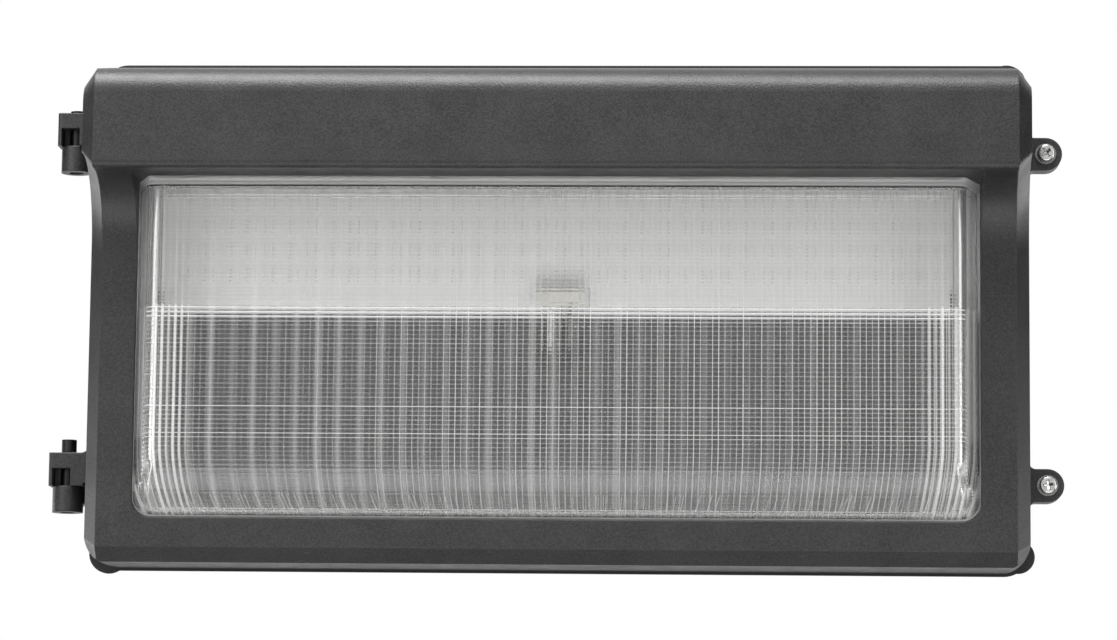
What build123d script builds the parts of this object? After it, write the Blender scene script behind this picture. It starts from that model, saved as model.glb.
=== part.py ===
"""Wall pack light: a cast back box on the wall, and a hinged cast door with a
hood and a pressed glass refractor in front of an LED board.

Frame: +X to the viewer's right, +Y into the wall, +Z up. The origin is on the
wall face, at the middle of the back box. Sizes are millimetres.
"""
from build123d import *
import math
import os

os.makedirs("parts", exist_ok=True)

# ------------------------------------------------------------ driving sizes
# Outline shared by the back box and the door, at the joint between them
body_width = 424.0
body_height = 231.6
body_corner = 12.0

# Back box
box_depth = 119.0            # wall face to rim
box_draft = 6.0              # degrees, narrower at the wall
box_wall = 3.5
box_back = 6.0
rim_width = 9.0              # land that carries the gasket
rim_depth = 6.0

# Door casting
door_side_depth = 29.0       # rim to the start of the front bevel
door_draft = 1.7             # degrees
door_wall = 3.5
bevel_width = 6.0            # seen from the front, left and right
bevel_depth = 8.0            # front to back
bevel_rise = 6.4             # seen from the front, along the bottom
hood_projection = 40.0       # hood front ahead of the frame face
hood_front_lean = 1.0        # degrees
hood_top_slope = 11.5        # degrees, lower at the front
hood_top_radius = 12.5
hood_lip_radius = 3.0
cove_radius = 31.0           # hollow curve between hood and frame face
hood_height = 59.7           # hood's underside to the top of the body

# Glass
glass_side_margin = 23.4     # side of the body to the glass
glass_low_margin = 20.6      # bottom of the body to the glass
glass_corner = 8.7
glass_projection = 22.0      # ahead of the frame face
glass_side_draft = 20.0      # degrees
glass_front_corner = 6.0
glass_bottom_radius = 26.5
glass_wall = 4.5
flange_width = 8.5
flange_thickness = 5.0

# Housing gasket between box and door
gasket_gap = 2.0
gasket_overhang = 1.1        # shows past the door all round
groove_width = 5.0
groove_depth = 3.0

# Hinges, on the left
hinge_outset = 10.7          # side of the body to the pin axis
hinge_ahead = 7.0            # pin axis ahead of the door's rim
upper_hinge_drop = 39.1      # top of the body to the upper lug's seat
lower_hinge_rise = 36.2      # bottom of the body to the lower lug's seat
lug_height = 15.0
lug_reach = 8.0              # pin axis to the lug's outer side
lug_half_depth = 8.0
barrel_radius = 7.0
barrel_height = 11.7
web_height = 7.5             # web behind each barrel
web_length = 10.0            # along the side of the box
pin_radius = 3.4
upper_pin_stub = 1.8         # shows above its lug
lower_pin_stub = 6.4
lug_window_width = 8.3
lug_window_height = 8.0
lug_root_fillet = 4.0

# Screw ears, on the right
ear_outset = 8.1             # side of the body to the screw
upper_ear_drop = 41.55       # top of the body to the upper screw
lower_ear_rise = 39.2        # bottom of the body to the lower screw
ear_radius = 7.5
ear_thickness = 10.0
ear_root_fillet = 3.0
box_ear_radius = 5.0         # hidden behind the door's ear
box_ear_depth = 10.0
ear_screw_radius = 2.0
ear_screw_head_radius = 3.8
ear_screw_head_height = 3.0
ear_screw_engagement = 8.0
flat_washer_radius = 4.7
flat_washer_thickness = 1.0
spring_washer_radius = 3.9
spring_washer_thickness = 1.2

# LED board and its heat plate
heat_plate_thickness = 3.0
heat_plate_height = 68.0
board_side_gap = 1.0         # side of the glass to the board
board_height = 63.0
board_thickness = 1.6
board_screw_inset = 15.7     # end of the board to the last screw of the row
board_screw_count = 4
chip_pitch = 9.5
chip_end_margin = 16.0       # end of the board to the last chip
chip_rows = 4
chip_size = 3.0
chip_height = 0.7

# Gear plate, driver and wiring
gear_plate_thickness = 1.5
driver_length = 170.0
driver_height = 58.0
driver_depth = 34.0
terminal_length = 44.0
terminal_height = 20.0
terminal_depth = 17.0
surge_radius = 13.0
surge_length = 46.0
lead_radius = 1.3
driver_above_bottom = 53.8   # bottom of the body to the driver's middle
grommet_above_driver = 19.0  # top of the driver to the lead grommet
plate_above_grommet = 14.0   # grommet to the heat plate's lower edge
plate_edge_gap = 1.5         # round the two mounting plates
ledge_inset = 19.0           # side of the body to the ledges' inner ends

# Wall side
lag_inset_x = 52.0           # side of the body to a lag bolt hole
lag_inset_z = 40.8           # top or bottom of the body to a lag bolt hole
lag_radius = 3.5
strap_pitch = 88.9           # screws of a common round junction box
strap_radius = 2.5
wire_entry_radius = 11.0
wire_entry_drop = 85.8       # top of the body to the wire entry
conduit_radius = 10.4        # half-inch conduit thread
conduit_boss_radius = 16.0
conduit_from_wall = 52.0

# Clearances
slip = 0.5                   # glass edge to casting
press = 0.02                 # pin larger than its barrel's bore
running = 0.05               # lug bore larger than the pin
screw_slip = 0.1             # fixed screws in their holes
ear_slip = 0.3               # ear screw in the door's ear
thread_slip = 0.45           # ear screw in the box's ear, so that it swings out

# ------------------------------------------------------------ derived places
half_width = body_width / 2
half_height = body_height / 2
glass_width = body_width - 2 * glass_side_margin
glass_bottom = -half_height + glass_low_margin
shelf_height = half_height - hood_height
box_rim_y = -box_depth
door_rim_y = box_rim_y - gasket_gap
side_front_y = door_rim_y - door_side_depth
frame_y = side_front_y - bevel_depth
hood_y = frame_y - hood_projection
draft_slope = math.tan(math.radians(door_draft))
slope_rise = math.tan(math.radians(hood_top_slope))
lean_slope = math.tan(math.radians(hood_front_lean))
side_rise = door_side_depth * draft_slope
frame_back_y = frame_y + door_wall
opening_half = glass_width / 2 + slip
opening_bottom = glass_bottom - slip
glass_gasket_thickness = 2.0
flange_front_y = frame_back_y + glass_gasket_thickness
flange_back_y = flange_front_y + flange_thickness
flange_half = glass_width / 2 + flange_width
flange_bottom = glass_bottom - flange_width
flange_top = shelf_height + door_wall + flange_width
hinge_y = door_rim_y - hinge_ahead
hinge_x = -half_width - hinge_outset
hinge_seats = [half_height - upper_hinge_drop, -half_height + lower_hinge_rise]
ear_x = half_width + ear_outset
ear_heights = [half_height - upper_ear_drop, -half_height + lower_ear_rise]
ear_front_y = door_rim_y - ear_thickness
box_slope = math.tan(math.radians(box_draft))
driver_z = -half_height + driver_above_bottom
grommet_z = driver_z + driver_height / 2 + grommet_above_driver
heat_plate_bottom = grommet_z + plate_above_grommet
heat_plate_back_y = box_rim_y + heat_plate_thickness
board_bottom = heat_plate_bottom + 2.8
board_y = box_rim_y
board_front_y = board_y - board_thickness
board_screw_z = board_bottom + board_height - 5.4
board_width = glass_width - 2 * board_side_gap
ledge_half_gap = half_width - ledge_inset
plate_half = half_width - rim_width - plate_edge_gap
gear_plate_bottom = -half_height + rim_width + 3.3
gear_plate_top = heat_plate_bottom - plate_edge_gap
lag_pitch_x = body_width - 2 * lag_inset_x
lag_pitch_z = body_height - 2 * lag_inset_z
wire_entry_height = half_height - wire_entry_drop


# ------------------------------------------------------------------ helpers
def block(x_low, x_high, y_low, y_high, z_low, z_high):
    """Box between two opposite corners."""
    middle = Pos((x_low + x_high) / 2, (y_low + y_high) / 2, (z_low + z_high) / 2)
    return middle * Box(x_high - x_low, y_high - y_low, z_high - z_low)


def rod_x(x_low, x_high, y, z, radius):
    """Round bar along X."""
    return Pos((x_low + x_high) / 2, y, z) * Rot(0, 90, 0) * Cylinder(radius, x_high - x_low)


def rod_y(x, y_low, y_high, z, radius):
    """Round bar along Y."""
    return Pos(x, (y_low + y_high) / 2, z) * Rot(90, 0, 0) * Cylinder(radius, y_high - y_low)


def rod_z(x, y, z_low, z_high, radius):
    """Round bar along Z."""
    return Pos(x, y, (z_low + z_high) / 2) * Cylinder(radius, z_high - z_low)


def front_outline(width, height, corner, y):
    """Rounded rectangle that faces the front, at depth y."""
    return Pos(0, y, 0) * Rot(90, 0, 0) * RectangleRounded(width, height, corner)


def front_plate(width, height, corner, y_low, y_high):
    """Plate with rounded corners, facing the front, between two depths."""
    shape = extrude(RectangleRounded(width, height, corner), y_high - y_low)
    return Pos(0, y_high, 0) * Rot(90, 0, 0) * shape


def drafted_body(inset, y_front, y_back, slope):
    """Rounded rectangular body, inset from the shared outline and narrower at y_back by slope."""
    shrink = 2 * (y_back - y_front) * abs(slope)
    width = body_width - 2 * inset
    height = body_height - 2 * inset
    corner = max(body_corner - inset, 2.0)
    back = front_outline(width - shrink, height - shrink, corner, y_back)
    return loft([front_outline(width, height, corner, y_front), back], ruled=True)


def side_section(corners, radii, x):
    """Face in the YZ plane at x, through corners (y, z) rounded by radii."""
    edges = []
    points = [Vector(x, y, z) for y, z in corners]
    count = len(points)
    arcs = []
    for index, corner in enumerate(points):
        to_last = (points[index - 1] - corner).normalized()
        to_next = (points[(index + 1) % count] - corner).normalized()
        half_angle = math.radians(to_last.get_angle(to_next)) / 2
        reach = radii[index] / math.tan(half_angle)
        inward = (to_last + to_next).normalized()
        middle = corner + inward * (radii[index] / math.sin(half_angle) - radii[index])
        arcs.append((corner + to_last * reach, middle, corner + to_next * reach))
    for index, (start, middle, end) in enumerate(arcs):
        if radii[index] > 0:
            edges.append(ThreePointArc(start, middle, end).edge())
        edges.append(Line(end, arcs[(index + 1) % count][0]).edge())
    return Face(Wire(edges))


def crossing(point_a, along_a, point_b, along_b):
    """Where two lines in the YZ plane cross."""
    across = along_a[0] * along_b[1] - along_a[1] * along_b[0]
    gap = (point_b[0] - point_a[0], point_b[1] - point_a[1])
    reach = (gap[0] * along_b[1] - gap[1] * along_b[0]) / across
    return (point_a[0] + along_a[0] * reach, point_a[1] + along_a[1] * reach)


def set_in(corners, offset, fixed_sides):
    """Corners of an outline with every side moved inward by offset, except the fixed ones."""
    sides = []
    for index, start in enumerate(corners):
        end = corners[(index + 1) % len(corners)]
        length = math.dist(start, end)
        along = ((end[0] - start[0]) / length, (end[1] - start[1]) / length)
        shift = 0 if index in fixed_sides else offset
        sides.append(((start[0] + along[1] * shift, start[1] - along[0] * shift), along))
    return [crossing(*sides[index - 1], *sides[index]) for index in range(len(sides))]


def lug_window(side_x, height_low):
    """Core opening through the front of a hinge lug."""
    return block(
        side_x,
        side_x + lug_window_width,
        hinge_y - lug_half_depth - 1,
        hinge_y,
        height_low - 1,
        height_low + lug_window_height,
    )


def root_wedge(side_x, level, out, up, y_low, y_high, radius):
    """Concave fillet where a lug or ear meets the body's side; out and up are +1 or -1."""
    middle = Pos(side_x + out * radius, level + up * radius)
    corner = Pos(side_x + out * (radius / 2 - 1), level + up * (radius / 2 - 0.5))
    profile = corner * Rectangle(radius + 2, radius + 1) - middle * Circle(radius)
    return Pos(0, y_high, 0) * Rot(90, 0, 0) * extrude(profile, y_high - y_low)


def ear_root_wedges(z, radius, y_low, y_high):
    """Fillets above and below a screw ear of this radius."""
    upper = root_wedge(half_width, z + radius, 1, 1, y_low, y_high, ear_root_fillet)
    lower = root_wedge(half_width, z - radius, 1, -1, y_low, y_high, ear_root_fillet)
    return upper + lower


# ------------------------------------------------------------- door envelope
door_corners = [
    (door_rim_y, -half_height),
    (side_front_y, -half_height + side_rise),
    (frame_y, -half_height + side_rise + bevel_rise),
    (frame_y, shelf_height),
    (hood_y, shelf_height),
    crossing((hood_y, shelf_height), (lean_slope, 1), (door_rim_y, half_height), (-1, -slope_rise)),
    (door_rim_y, half_height),
]
door_radii = [0, 0, 0, cove_radius, hood_lip_radius, hood_top_radius, 0]
rim_side = 6
bottom_side = 0


def door_section(offset, fixed_sides, corner_loss):
    """Side section of the door at x = 0, its sides moved inward by offset.

    Rounded corners lose corner_loss from their radius, and the hollow one gains it.
    """
    radii = []
    for index, radius in enumerate(door_radii):
        hollow = index == 3
        smaller = max(radius - corner_loss, 0.4) if radius else 0
        radii.append(radius + corner_loss if hollow else smaller)
    return side_section(set_in(door_corners, offset, fixed_sides), radii, 0)


def door_envelope():
    """Outside of the door: plain middle, bevelled ends, all turned to the sides' draft."""
    run_out = bevel_width + 2.0
    recess = bevel_depth * run_out / bevel_width
    full = door_section(0, [rim_side], 0)
    set_back = door_section(recess, [rim_side, bottom_side], recess / 2)
    inner_ends = []
    outer_ends = []
    for side in (-1, 1):
        turn = Rot(0, 0, -side * door_draft) * Pos(0, -door_rim_y, 0)
        reach = half_width - bevel_width
        inner_ends.append(Pos(side * reach, door_rim_y, 0) * turn * full)
        outer_ends.append(Pos(side * (reach + run_out), door_rim_y, 0) * turn * set_back)
    shape = loft(inner_ends, ruled=True)
    for inner, outer in zip(inner_ends, outer_ends):
        shape += loft([inner, outer], ruled=True)
    return shape & drafted_body(0, hood_y - 1, door_rim_y, 0) & door_side_draft()


def door_side_draft():
    """Drafted sides: widest at the rim."""
    reach = door_rim_y - hood_y + 5
    front = front_outline(
        body_width - 2 * reach * draft_slope, body_height, body_corner, door_rim_y - reach
    )
    return loft([front, front_outline(body_width, body_height, body_corner, door_rim_y)], ruled=True)


# ---------------------------------------------------------------- door parts
clip_length = 15.0
clip_width = 14.0
clip_thickness = 1.5
clip_boss_radius = 3.6
clip_screw_radius = 1.5
clip_screw_head_radius = 2.8
clip_screw_head_height = 2.0
clip_screw_depth = 5.0
clip_reach = flange_half + clip_boss_radius + 0.8
clip_low = flange_bottom - clip_boss_radius - 0.4
clip_high = flange_top + clip_boss_radius + 0.8
clip_x = 110.0
clip_z = [shelf_height - 25.4, glass_bottom + 34.4]
clip_places = [
    (-clip_x, clip_high, 0, -1),
    (clip_x, clip_high, 0, -1),
    (-clip_x, clip_low, 0, 1),
    (clip_x, clip_low, 0, 1),
    (-clip_reach, clip_z[0], 1, 0),
    (-clip_reach, clip_z[1], 1, 0),
    (clip_reach, clip_z[0], -1, 0),
    (clip_reach, clip_z[1], -1, 0),
]


def make_door_frame():
    """Cast door with its hood, glass opening, clip bosses, hinge lugs and screw ears."""
    web_top = clip_high + clip_boss_radius + 2
    core_half = half_width - rim_width - 1
    core_side = Pos(-core_half, 0, 0) * door_section(door_wall, [rim_side], door_wall)
    core = extrude(core_side, 2 * core_half, dir=(1, 0, 0))
    rim_half = half_height - rim_width - 6
    core += block(-core_half, core_half, door_rim_y - 1, door_rim_y + 1, -rim_half, rim_half)
    pocket_front = side_front_y + 2
    pocket_half = half_width - door_wall - 0.4
    pocket_top = half_height - rim_width - 3
    for side in (-1, 1):
        x_low, x_high = sorted((side * (core_half - 1), side * pocket_half))
        core += block(x_low, x_high, pocket_front, door_rim_y - 4, -half_height + 8, pocket_top)
    kept_half = opening_half + door_wall
    core -= block(
        -kept_half,
        kept_half,
        hood_y,
        frame_back_y,
        opening_bottom - door_wall,
        shelf_height + door_wall,
    )
    core -= block(-core_half, core_half, frame_y, frame_back_y, shelf_height, web_top)
    rim_land = front_plate(body_width, body_height, body_corner, door_rim_y - 4, door_rim_y)
    rim_land -= front_plate(
        body_width - 2 * rim_width,
        body_height - 2 * rim_width,
        3.0,
        door_rim_y - 5,
        door_rim_y + 1,
    )
    core -= rim_land
    door = door_envelope() - core

    opening_height = shelf_height - opening_bottom
    opening = Pos(0, 0, (shelf_height + opening_bottom) / 2) * front_plate(
        2 * opening_half, opening_height, glass_corner, hood_y, flange_front_y
    )
    square_low = shelf_height - 2 * glass_corner
    square_top = block(
        -opening_half, opening_half, hood_y, flange_front_y, square_low, shelf_height
    )
    hood_back_y = frame_y - cove_radius
    keep_front = block(
        -half_width, half_width, hood_y - 1, hood_back_y, -half_height, shelf_height
    )
    door -= opening + square_top - keep_front

    for x, z, _, _ in clip_places:
        door += rod_y(x, frame_back_y - 1, flange_back_y, z, clip_boss_radius)
    for x, z, _, _ in clip_places:
        door -= rod_y(
            x, flange_back_y - clip_screw_depth - 1, flange_back_y + 1, z, clip_screw_radius + screw_slip
        )

    lug_root_x = -half_width + door_wall - 1
    for seat in hinge_seats:
        lug = block(
            hinge_x - lug_reach,
            lug_root_x,
            hinge_y - lug_half_depth,
            door_rim_y,
            seat,
            seat + lug_height,
        )
        lug = fillet(lug.edges().filter_by(Axis.Z).group_by(Axis.X)[0], 2.0)
        root_relief = block(
            hinge_x + barrel_radius + 1, -half_width, hood_y, 0, seat - 1, seat + 1.2
        )
        root_fillet = root_wedge(
            -half_width, seat + lug_height, -1, 1, hinge_y - lug_half_depth, door_rim_y, lug_root_fillet
        )
        door += lug + root_fillet - root_relief
        window_side = hinge_x - lug_reach + 1.9
        door -= lug_window(window_side, seat)
        door -= rod_z(hinge_x, hinge_y, seat - 1, seat + lug_height + 1, pin_radius + running)

    for z in ear_heights:
        ear = block(half_width - 3, ear_x, ear_front_y, door_rim_y, z - ear_radius, z + ear_radius)
        ear += rod_y(ear_x, ear_front_y, door_rim_y, z, ear_radius)
        door += ear + ear_root_wedges(z, ear_radius, ear_front_y, door_rim_y)
        door -= rod_y(ear_x, ear_front_y - 1, door_rim_y + 1, z, ear_screw_radius + ear_slip)
    return door


def glass_bulge(inset, back_y):
    """Solid body of the refractor's bulge, inset from its outside."""
    half = glass_width / 2 - inset
    front = frame_y - glass_projection + inset
    side_step = glass_projection * math.tan(math.radians(glass_side_draft))
    low = glass_bottom + inset
    high = shelf_height - slip - inset
    plan = [(-half, back_y), (-half, frame_y), (-half + side_step, front)]
    plan += [(-x, y) for x, y in reversed(plan)]
    face = make_face(Polyline(*plan, close=True))
    front_corners = face.vertices().filter_by(lambda v: v.Y < frame_y - 1)
    face = fillet(front_corners, glass_front_corner)
    prism = Pos(0, 0, low) * extrude(face, high - low)
    radius = glass_bottom_radius - inset
    corners = [(back_y, low), (front, low), (front, high), (back_y, high)]
    side = side_section(corners, [0, radius, 2.0, 0], -half - 1)
    return prism & extrude(side, 2 * half + 2, dir=(1, 0, 0))


def corner_blank(half, low, high, y_low, y_high, radius):
    """Plate in front view with all corners rounded, between two heights."""
    shape = front_plate(2 * half, high - low, radius, y_low, y_high)
    return Pos(0, 0, (low + high) / 2) * shape


def make_glass():
    """Pressed glass refractor: a hollow bulge on a flat flange."""
    reach = flange_back_y + 1
    top = shelf_height - slip
    trim = corner_blank(glass_width / 2, glass_bottom, top + 20, hood_y, flange_back_y, glass_corner)
    bulge = glass_bulge(0, flange_back_y) & trim
    flange = corner_blank(
        flange_half, flange_bottom, flange_top, flange_front_y, flange_back_y, glass_corner
    )
    return flange + bulge - glass_bulge(glass_wall, reach)


def make_glass_gasket():
    """Flat silicone ring between the casting's lip and the glass flange."""
    ring = corner_blank(
        flange_half, flange_bottom, flange_top, frame_back_y, flange_front_y, glass_corner
    )
    y_low = frame_back_y - 1
    y_high = flange_front_y + 1
    top = shelf_height + slip
    hole = corner_blank(opening_half, opening_bottom, top, y_low, y_high, glass_corner)
    hole += block(-opening_half, opening_half, y_low, y_high, top - 2 * glass_corner, top)
    return ring - hole


def make_glass_clips():
    """Flat spring clips, screwed to bosses, that hold the flange."""
    clips = []
    for x, z, to_x, to_z in clip_places:
        tip = clip_length - clip_width / 2
        x_low = x - clip_width / 2 if to_x <= 0 else x - clip_boss_radius
        x_high = x + clip_width / 2 if to_x >= 0 else x + clip_boss_radius
        z_low = z - clip_width / 2
        z_high = z + clip_width / 2
        if to_x:
            x_low, x_high = sorted((x - to_x * clip_boss_radius, x + to_x * tip))
        if to_z:
            z_low, z_high = sorted((z - to_z * clip_boss_radius, z + to_z * tip))
        clip = block(x_low, x_high, flange_back_y, flange_back_y + clip_thickness, z_low, z_high)
        clip -= rod_y(
            x, flange_back_y - 1, flange_back_y + clip_thickness + 1, z, clip_screw_radius + screw_slip
        )
        clips.append(clip)
    return Compound(children=clips)


def pan_screw(x, y_seat, z, shank, head, head_height, length, into):
    """Pan-head screw on Y. Its head lies on y_seat; into is +1 or -1 along Y for the shank."""
    tip = y_seat + into * length
    top = y_seat - into * head_height
    body = rod_y(x, min(y_seat, tip), max(y_seat, tip), z, shank)
    cap = rod_y(x, min(y_seat, top), max(y_seat, top), z, head)
    rim = cap.edges().filter_by(GeomType.CIRCLE).sort_by(Axis.Y)[0 if into > 0 else -1]
    cap = fillet(rim, head_height * 0.45)
    slot = head * 0.28
    depth = head_height * 0.55
    low, high = sorted((top - into, top + into * depth))
    cross = block(x - head * 0.55, x + head * 0.55, low, high, z - slot / 2, z + slot / 2)
    cross += block(x - slot / 2, x + slot / 2, low, high, z - head * 0.55, z + head * 0.55)
    return body + cap - cross


def make_clip_screws():
    """Screws of the glass clips."""
    screws = [
        pan_screw(
            x,
            flange_back_y + clip_thickness,
            z,
            clip_screw_radius,
            clip_screw_head_radius,
            clip_screw_head_height,
            clip_thickness + clip_screw_depth,
            -1,
        )
        for x, z, _, _ in clip_places
    ]
    return Compound(children=screws)


def make_ear_screw(z):
    """Long pan-head screw that closes the door."""
    seat = ear_front_y - flat_washer_thickness - spring_washer_thickness
    length = box_rim_y + ear_screw_engagement - seat
    return pan_screw(
        ear_x,
        seat,
        z,
        ear_screw_radius,
        ear_screw_head_radius,
        ear_screw_head_height,
        length,
        1,
    )


def make_ear_washers(z):
    """Flat washer and split spring washer under an ear screw's head."""
    flat_front = ear_front_y - flat_washer_thickness
    spring_front = flat_front - spring_washer_thickness
    hole = ear_screw_radius + screw_slip
    flat = rod_y(ear_x, flat_front, ear_front_y, z, flat_washer_radius)
    flat -= rod_y(ear_x, flat_front - 1, ear_front_y + 1, z, hole)
    spring = rod_y(ear_x, spring_front, flat_front, z, spring_washer_radius)
    spring -= rod_y(ear_x, spring_front - 1, flat_front + 1, z, hole)
    split = Pos(ear_x, (spring_front + flat_front) / 2, z + hole + 1) * Rot(0, 0, 35)
    spring -= split * Box(0.6, 4 * spring_washer_thickness, 3)
    return Compound(children=[flat, spring])


# ------------------------------------------------------------- housing parts
ledge_depth = 12.0
ledge_height = 16.0
heat_ledges = [heat_plate_bottom + 10.0, heat_plate_bottom + heat_plate_height - 8.0]
gear_ledges = [gear_plate_top - 20.5, gear_plate_bottom + 15.5]
plate_screw_radius = 2.0
plate_screw_head_radius = 3.6
plate_screw_head_height = 2.4
plate_screw_depth = 8.0
post_radius = 4.5
post_height = 6.0
driver_x = -35.0
driver_tab = 12.0
driver_tab_thickness = 2.0
driver_screw_reach = driver_length / 2 + driver_tab / 2
driver_screw_x = [driver_x - driver_screw_reach, driver_x + driver_screw_reach]
driver_screw_length = 7.0
terminal_x = 100.0
terminal_z = driver_z + 12.0
surge_x = 100.0
surge_z = driver_z - 24.0
earth_x = 150.0
earth_z = terminal_z
inside_back_y = -box_back
post_face_y = inside_back_y - post_height
pad_radius = 66.0
pad_depth = 3.0
conduit_y = -conduit_from_wall
entry_side_x = half_width - (box_depth - conduit_from_wall) * box_slope + 1.5
entry_top_z = half_height - (box_depth - conduit_from_wall) * box_slope + 1.5
entry_boss_length = 12.0
plate_screw_x = ledge_half_gap + (plate_half - ledge_half_gap) / 2


def post_places():
    """Where small posts stand on the back wall, as (x, z)."""
    places = [(x, driver_z) for x in driver_screw_x]
    places += [(terminal_x - terminal_length / 2 + 4, terminal_z)]
    places += [(terminal_x + terminal_length / 2 - 4, terminal_z)]
    places += [(earth_x, earth_z)]
    return places


def make_back_box():
    """Cast box with hinge barrels, screw ears, conduit entries, ledges and posts."""
    outside = drafted_body(0, box_rim_y, 0, box_slope)
    inside = drafted_body(box_wall, box_rim_y - 1, inside_back_y, box_slope)
    box = outside - inside
    rim = front_plate(body_width, body_height, body_corner, box_rim_y, box_rim_y + rim_depth)
    rim -= front_plate(
        body_width - 2 * rim_width,
        body_height - 2 * rim_width,
        3.0,
        box_rim_y - 1,
        box_rim_y + rim_depth + 1,
    )
    box += rim & outside

    for side in (-1, 1):
        for z in heat_ledges + gear_ledges:
            face_y = box_rim_y + heat_plate_thickness
            x_low, x_high = sorted((side * ledge_half_gap, side * (half_width - 2)))
            ledge = block(
                x_low, x_high, face_y, face_y + ledge_depth, z - ledge_height / 2, z + ledge_height / 2
            )
            box += ledge & outside
    for x, z in post_places():
        box += rod_y(x, post_face_y, inside_back_y + 1, z, post_radius)

    for side in (-1, 1):
        x_low, x_high = sorted((side * (entry_side_x - entry_boss_length), side * entry_side_x))
        box += rod_x(x_low, x_high, conduit_y, 0, conduit_boss_radius)
        box -= rod_x(x_low - 5, x_high + 5, conduit_y, 0, conduit_radius)
    box += rod_z(0, conduit_y, entry_top_z - entry_boss_length, entry_top_z, conduit_boss_radius)
    box -= rod_z(0, conduit_y, entry_top_z - 20, entry_top_z + 1, conduit_radius)

    box -= rod_y(0, inside_back_y - 1, 1, wire_entry_height, wire_entry_radius)
    for side in (-1, 1):
        strap_x = side * strap_pitch / 2
        box -= rod_y(strap_x, inside_back_y - 1, 1, wire_entry_height, strap_radius)
        for level in (-1, 1):
            box -= rod_y(
                side * lag_pitch_x / 2, inside_back_y - 1, 1, level * lag_pitch_z / 2, lag_radius
            )
    box -= wall_pad(0)

    for seat in hinge_seats:
        web_plan = [
            (hinge_x - barrel_radius, hinge_y),
            (hinge_x - barrel_radius, box_rim_y + 2),
            (-half_width + 1, box_rim_y + web_length),
            (-half_width + 6, box_rim_y),
            (hinge_x + barrel_radius, box_rim_y),
            (hinge_x + barrel_radius, hinge_y),
        ]
        web = extrude(make_face(Polyline(*web_plan, close=True)), web_height)
        box += Pos(0, 0, seat - web_height) * web
        box += rod_z(hinge_x, hinge_y, seat - barrel_height, seat, barrel_radius)
    for seat in hinge_seats:
        bore = pin_radius - press
        box -= rod_z(hinge_x, hinge_y, seat - barrel_height - 1, seat + 1, bore)

    for z in ear_heights:
        ear_back = box_rim_y + box_ear_depth
        ear = block(half_width - 6, ear_x, box_rim_y, ear_back, z - box_ear_radius, z + box_ear_radius)
        ear += rod_y(ear_x, box_rim_y, ear_back, z, box_ear_radius)
        box += ear + ear_root_wedges(z, box_ear_radius, box_rim_y, ear_back)
        box -= rod_y(ear_x, box_rim_y - 1, ear_back + 1, z, ear_screw_radius + thread_slip)

    groove_inset = (rim_width - groove_width) / 2
    groove = front_plate(
        body_width - 2 * groove_inset,
        body_height - 2 * groove_inset,
        body_corner - groove_inset,
        box_rim_y - 1,
        box_rim_y + groove_depth,
    )
    groove -= front_plate(
        body_width - 2 * (groove_inset + groove_width),
        body_height - 2 * (groove_inset + groove_width),
        4.0,
        box_rim_y - 2,
        box_rim_y + groove_depth + 1,
    )
    box -= groove
    for x, y, z in heat_screw_places() + gear_screw_places():
        box -= rod_y(x, box_rim_y - 1, y + plate_screw_depth, z, plate_screw_radius + screw_slip)
    for x, z in post_places():
        box -= rod_y(x, post_face_y - 1, post_face_y + 6, z, clip_screw_radius + screw_slip)
    return box


def wall_pad(inset):
    """Round recess on the wall side for the foam pad, smaller by inset."""
    pad = rod_y(0, -pad_depth, 0, wire_entry_height, pad_radius - inset)
    return pad - rod_y(0, -pad_depth - 1, 1, wire_entry_height, pad_radius - 12 + inset)


def heat_screw_places():
    """Screws through the heat plate into the ledges, as (x, y of plate front, z)."""
    return [
        (side * plate_screw_x, box_rim_y, z) for side in (-1, 1) for z in heat_ledges
    ]


def gear_screw_places():
    """Screws through the gear plate into the ledges, as (x, y of plate front, z)."""
    front_y = heat_plate_back_y - gear_plate_thickness
    return [
        (side * plate_screw_x, front_y, z) for side in (-1, 1) for z in gear_ledges
    ]


def make_hinge_pin(seat, stub):
    """Steel pin pressed into a barrel, standing up through the door's lug."""
    return rod_z(hinge_x, hinge_y, seat - barrel_height + 0.5, seat + lug_height + stub, pin_radius)


# Each bulge as (side, level, radius, reach beyond the body's side, reach beyond its top or bottom)
gasket_bulges = [(1, 1, 9.0, 0.2, 1.4), (1, -1, 7.5, 3.0, -0.3), (-1, -1, 9.0, 1.5, 2.5)]


def make_housing_gasket():
    """Black rubber ring with a bead in the groove, bulging out at the corners."""
    width = body_width + 2 * gasket_overhang
    height = body_height + 2 * gasket_overhang
    ring = front_plate(width, height, body_corner, door_rim_y, box_rim_y)
    for side, level, radius, out_x, out_z in gasket_bulges:
        x = side * (half_width + out_x - radius)
        z = level * (half_height + out_z - radius)
        ring += rod_y(x, door_rim_y, box_rim_y, z, radius)
    ring -= front_plate(
        body_width - 2 * rim_width,
        body_height - 2 * rim_width,
        3.0,
        door_rim_y - 1,
        box_rim_y + 1,
    )
    bead_inset = (rim_width - groove_width) / 2 + screw_slip
    bead_width = groove_width - 2 * screw_slip
    bead = front_plate(
        body_width - 2 * bead_inset,
        body_height - 2 * bead_inset,
        body_corner - bead_inset,
        box_rim_y,
        box_rim_y + groove_depth - screw_slip,
    )
    bead -= front_plate(
        body_width - 2 * (bead_inset + bead_width),
        body_height - 2 * (bead_inset + bead_width),
        4.0 + screw_slip,
        box_rim_y - 1,
        box_rim_y + groove_depth,
    )
    return ring + bead


def make_wall_gasket():
    """Foam ring in the back wall's recess, flush with the wall face."""
    return wall_pad(screw_slip)


def hex_plug(radius, length, head, head_height):
    """Plug along +Z with a flat head below zero and a hexagon socket in it."""
    plug = rod_z(0, 0, 0, length, radius) + rod_z(0, 0, -head_height, 0, head)
    socket = Pos(0, 0, -head_height - 0.5) * extrude(RegularPolygon(head * 0.42, 6), head_height)
    return plug - socket


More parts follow.
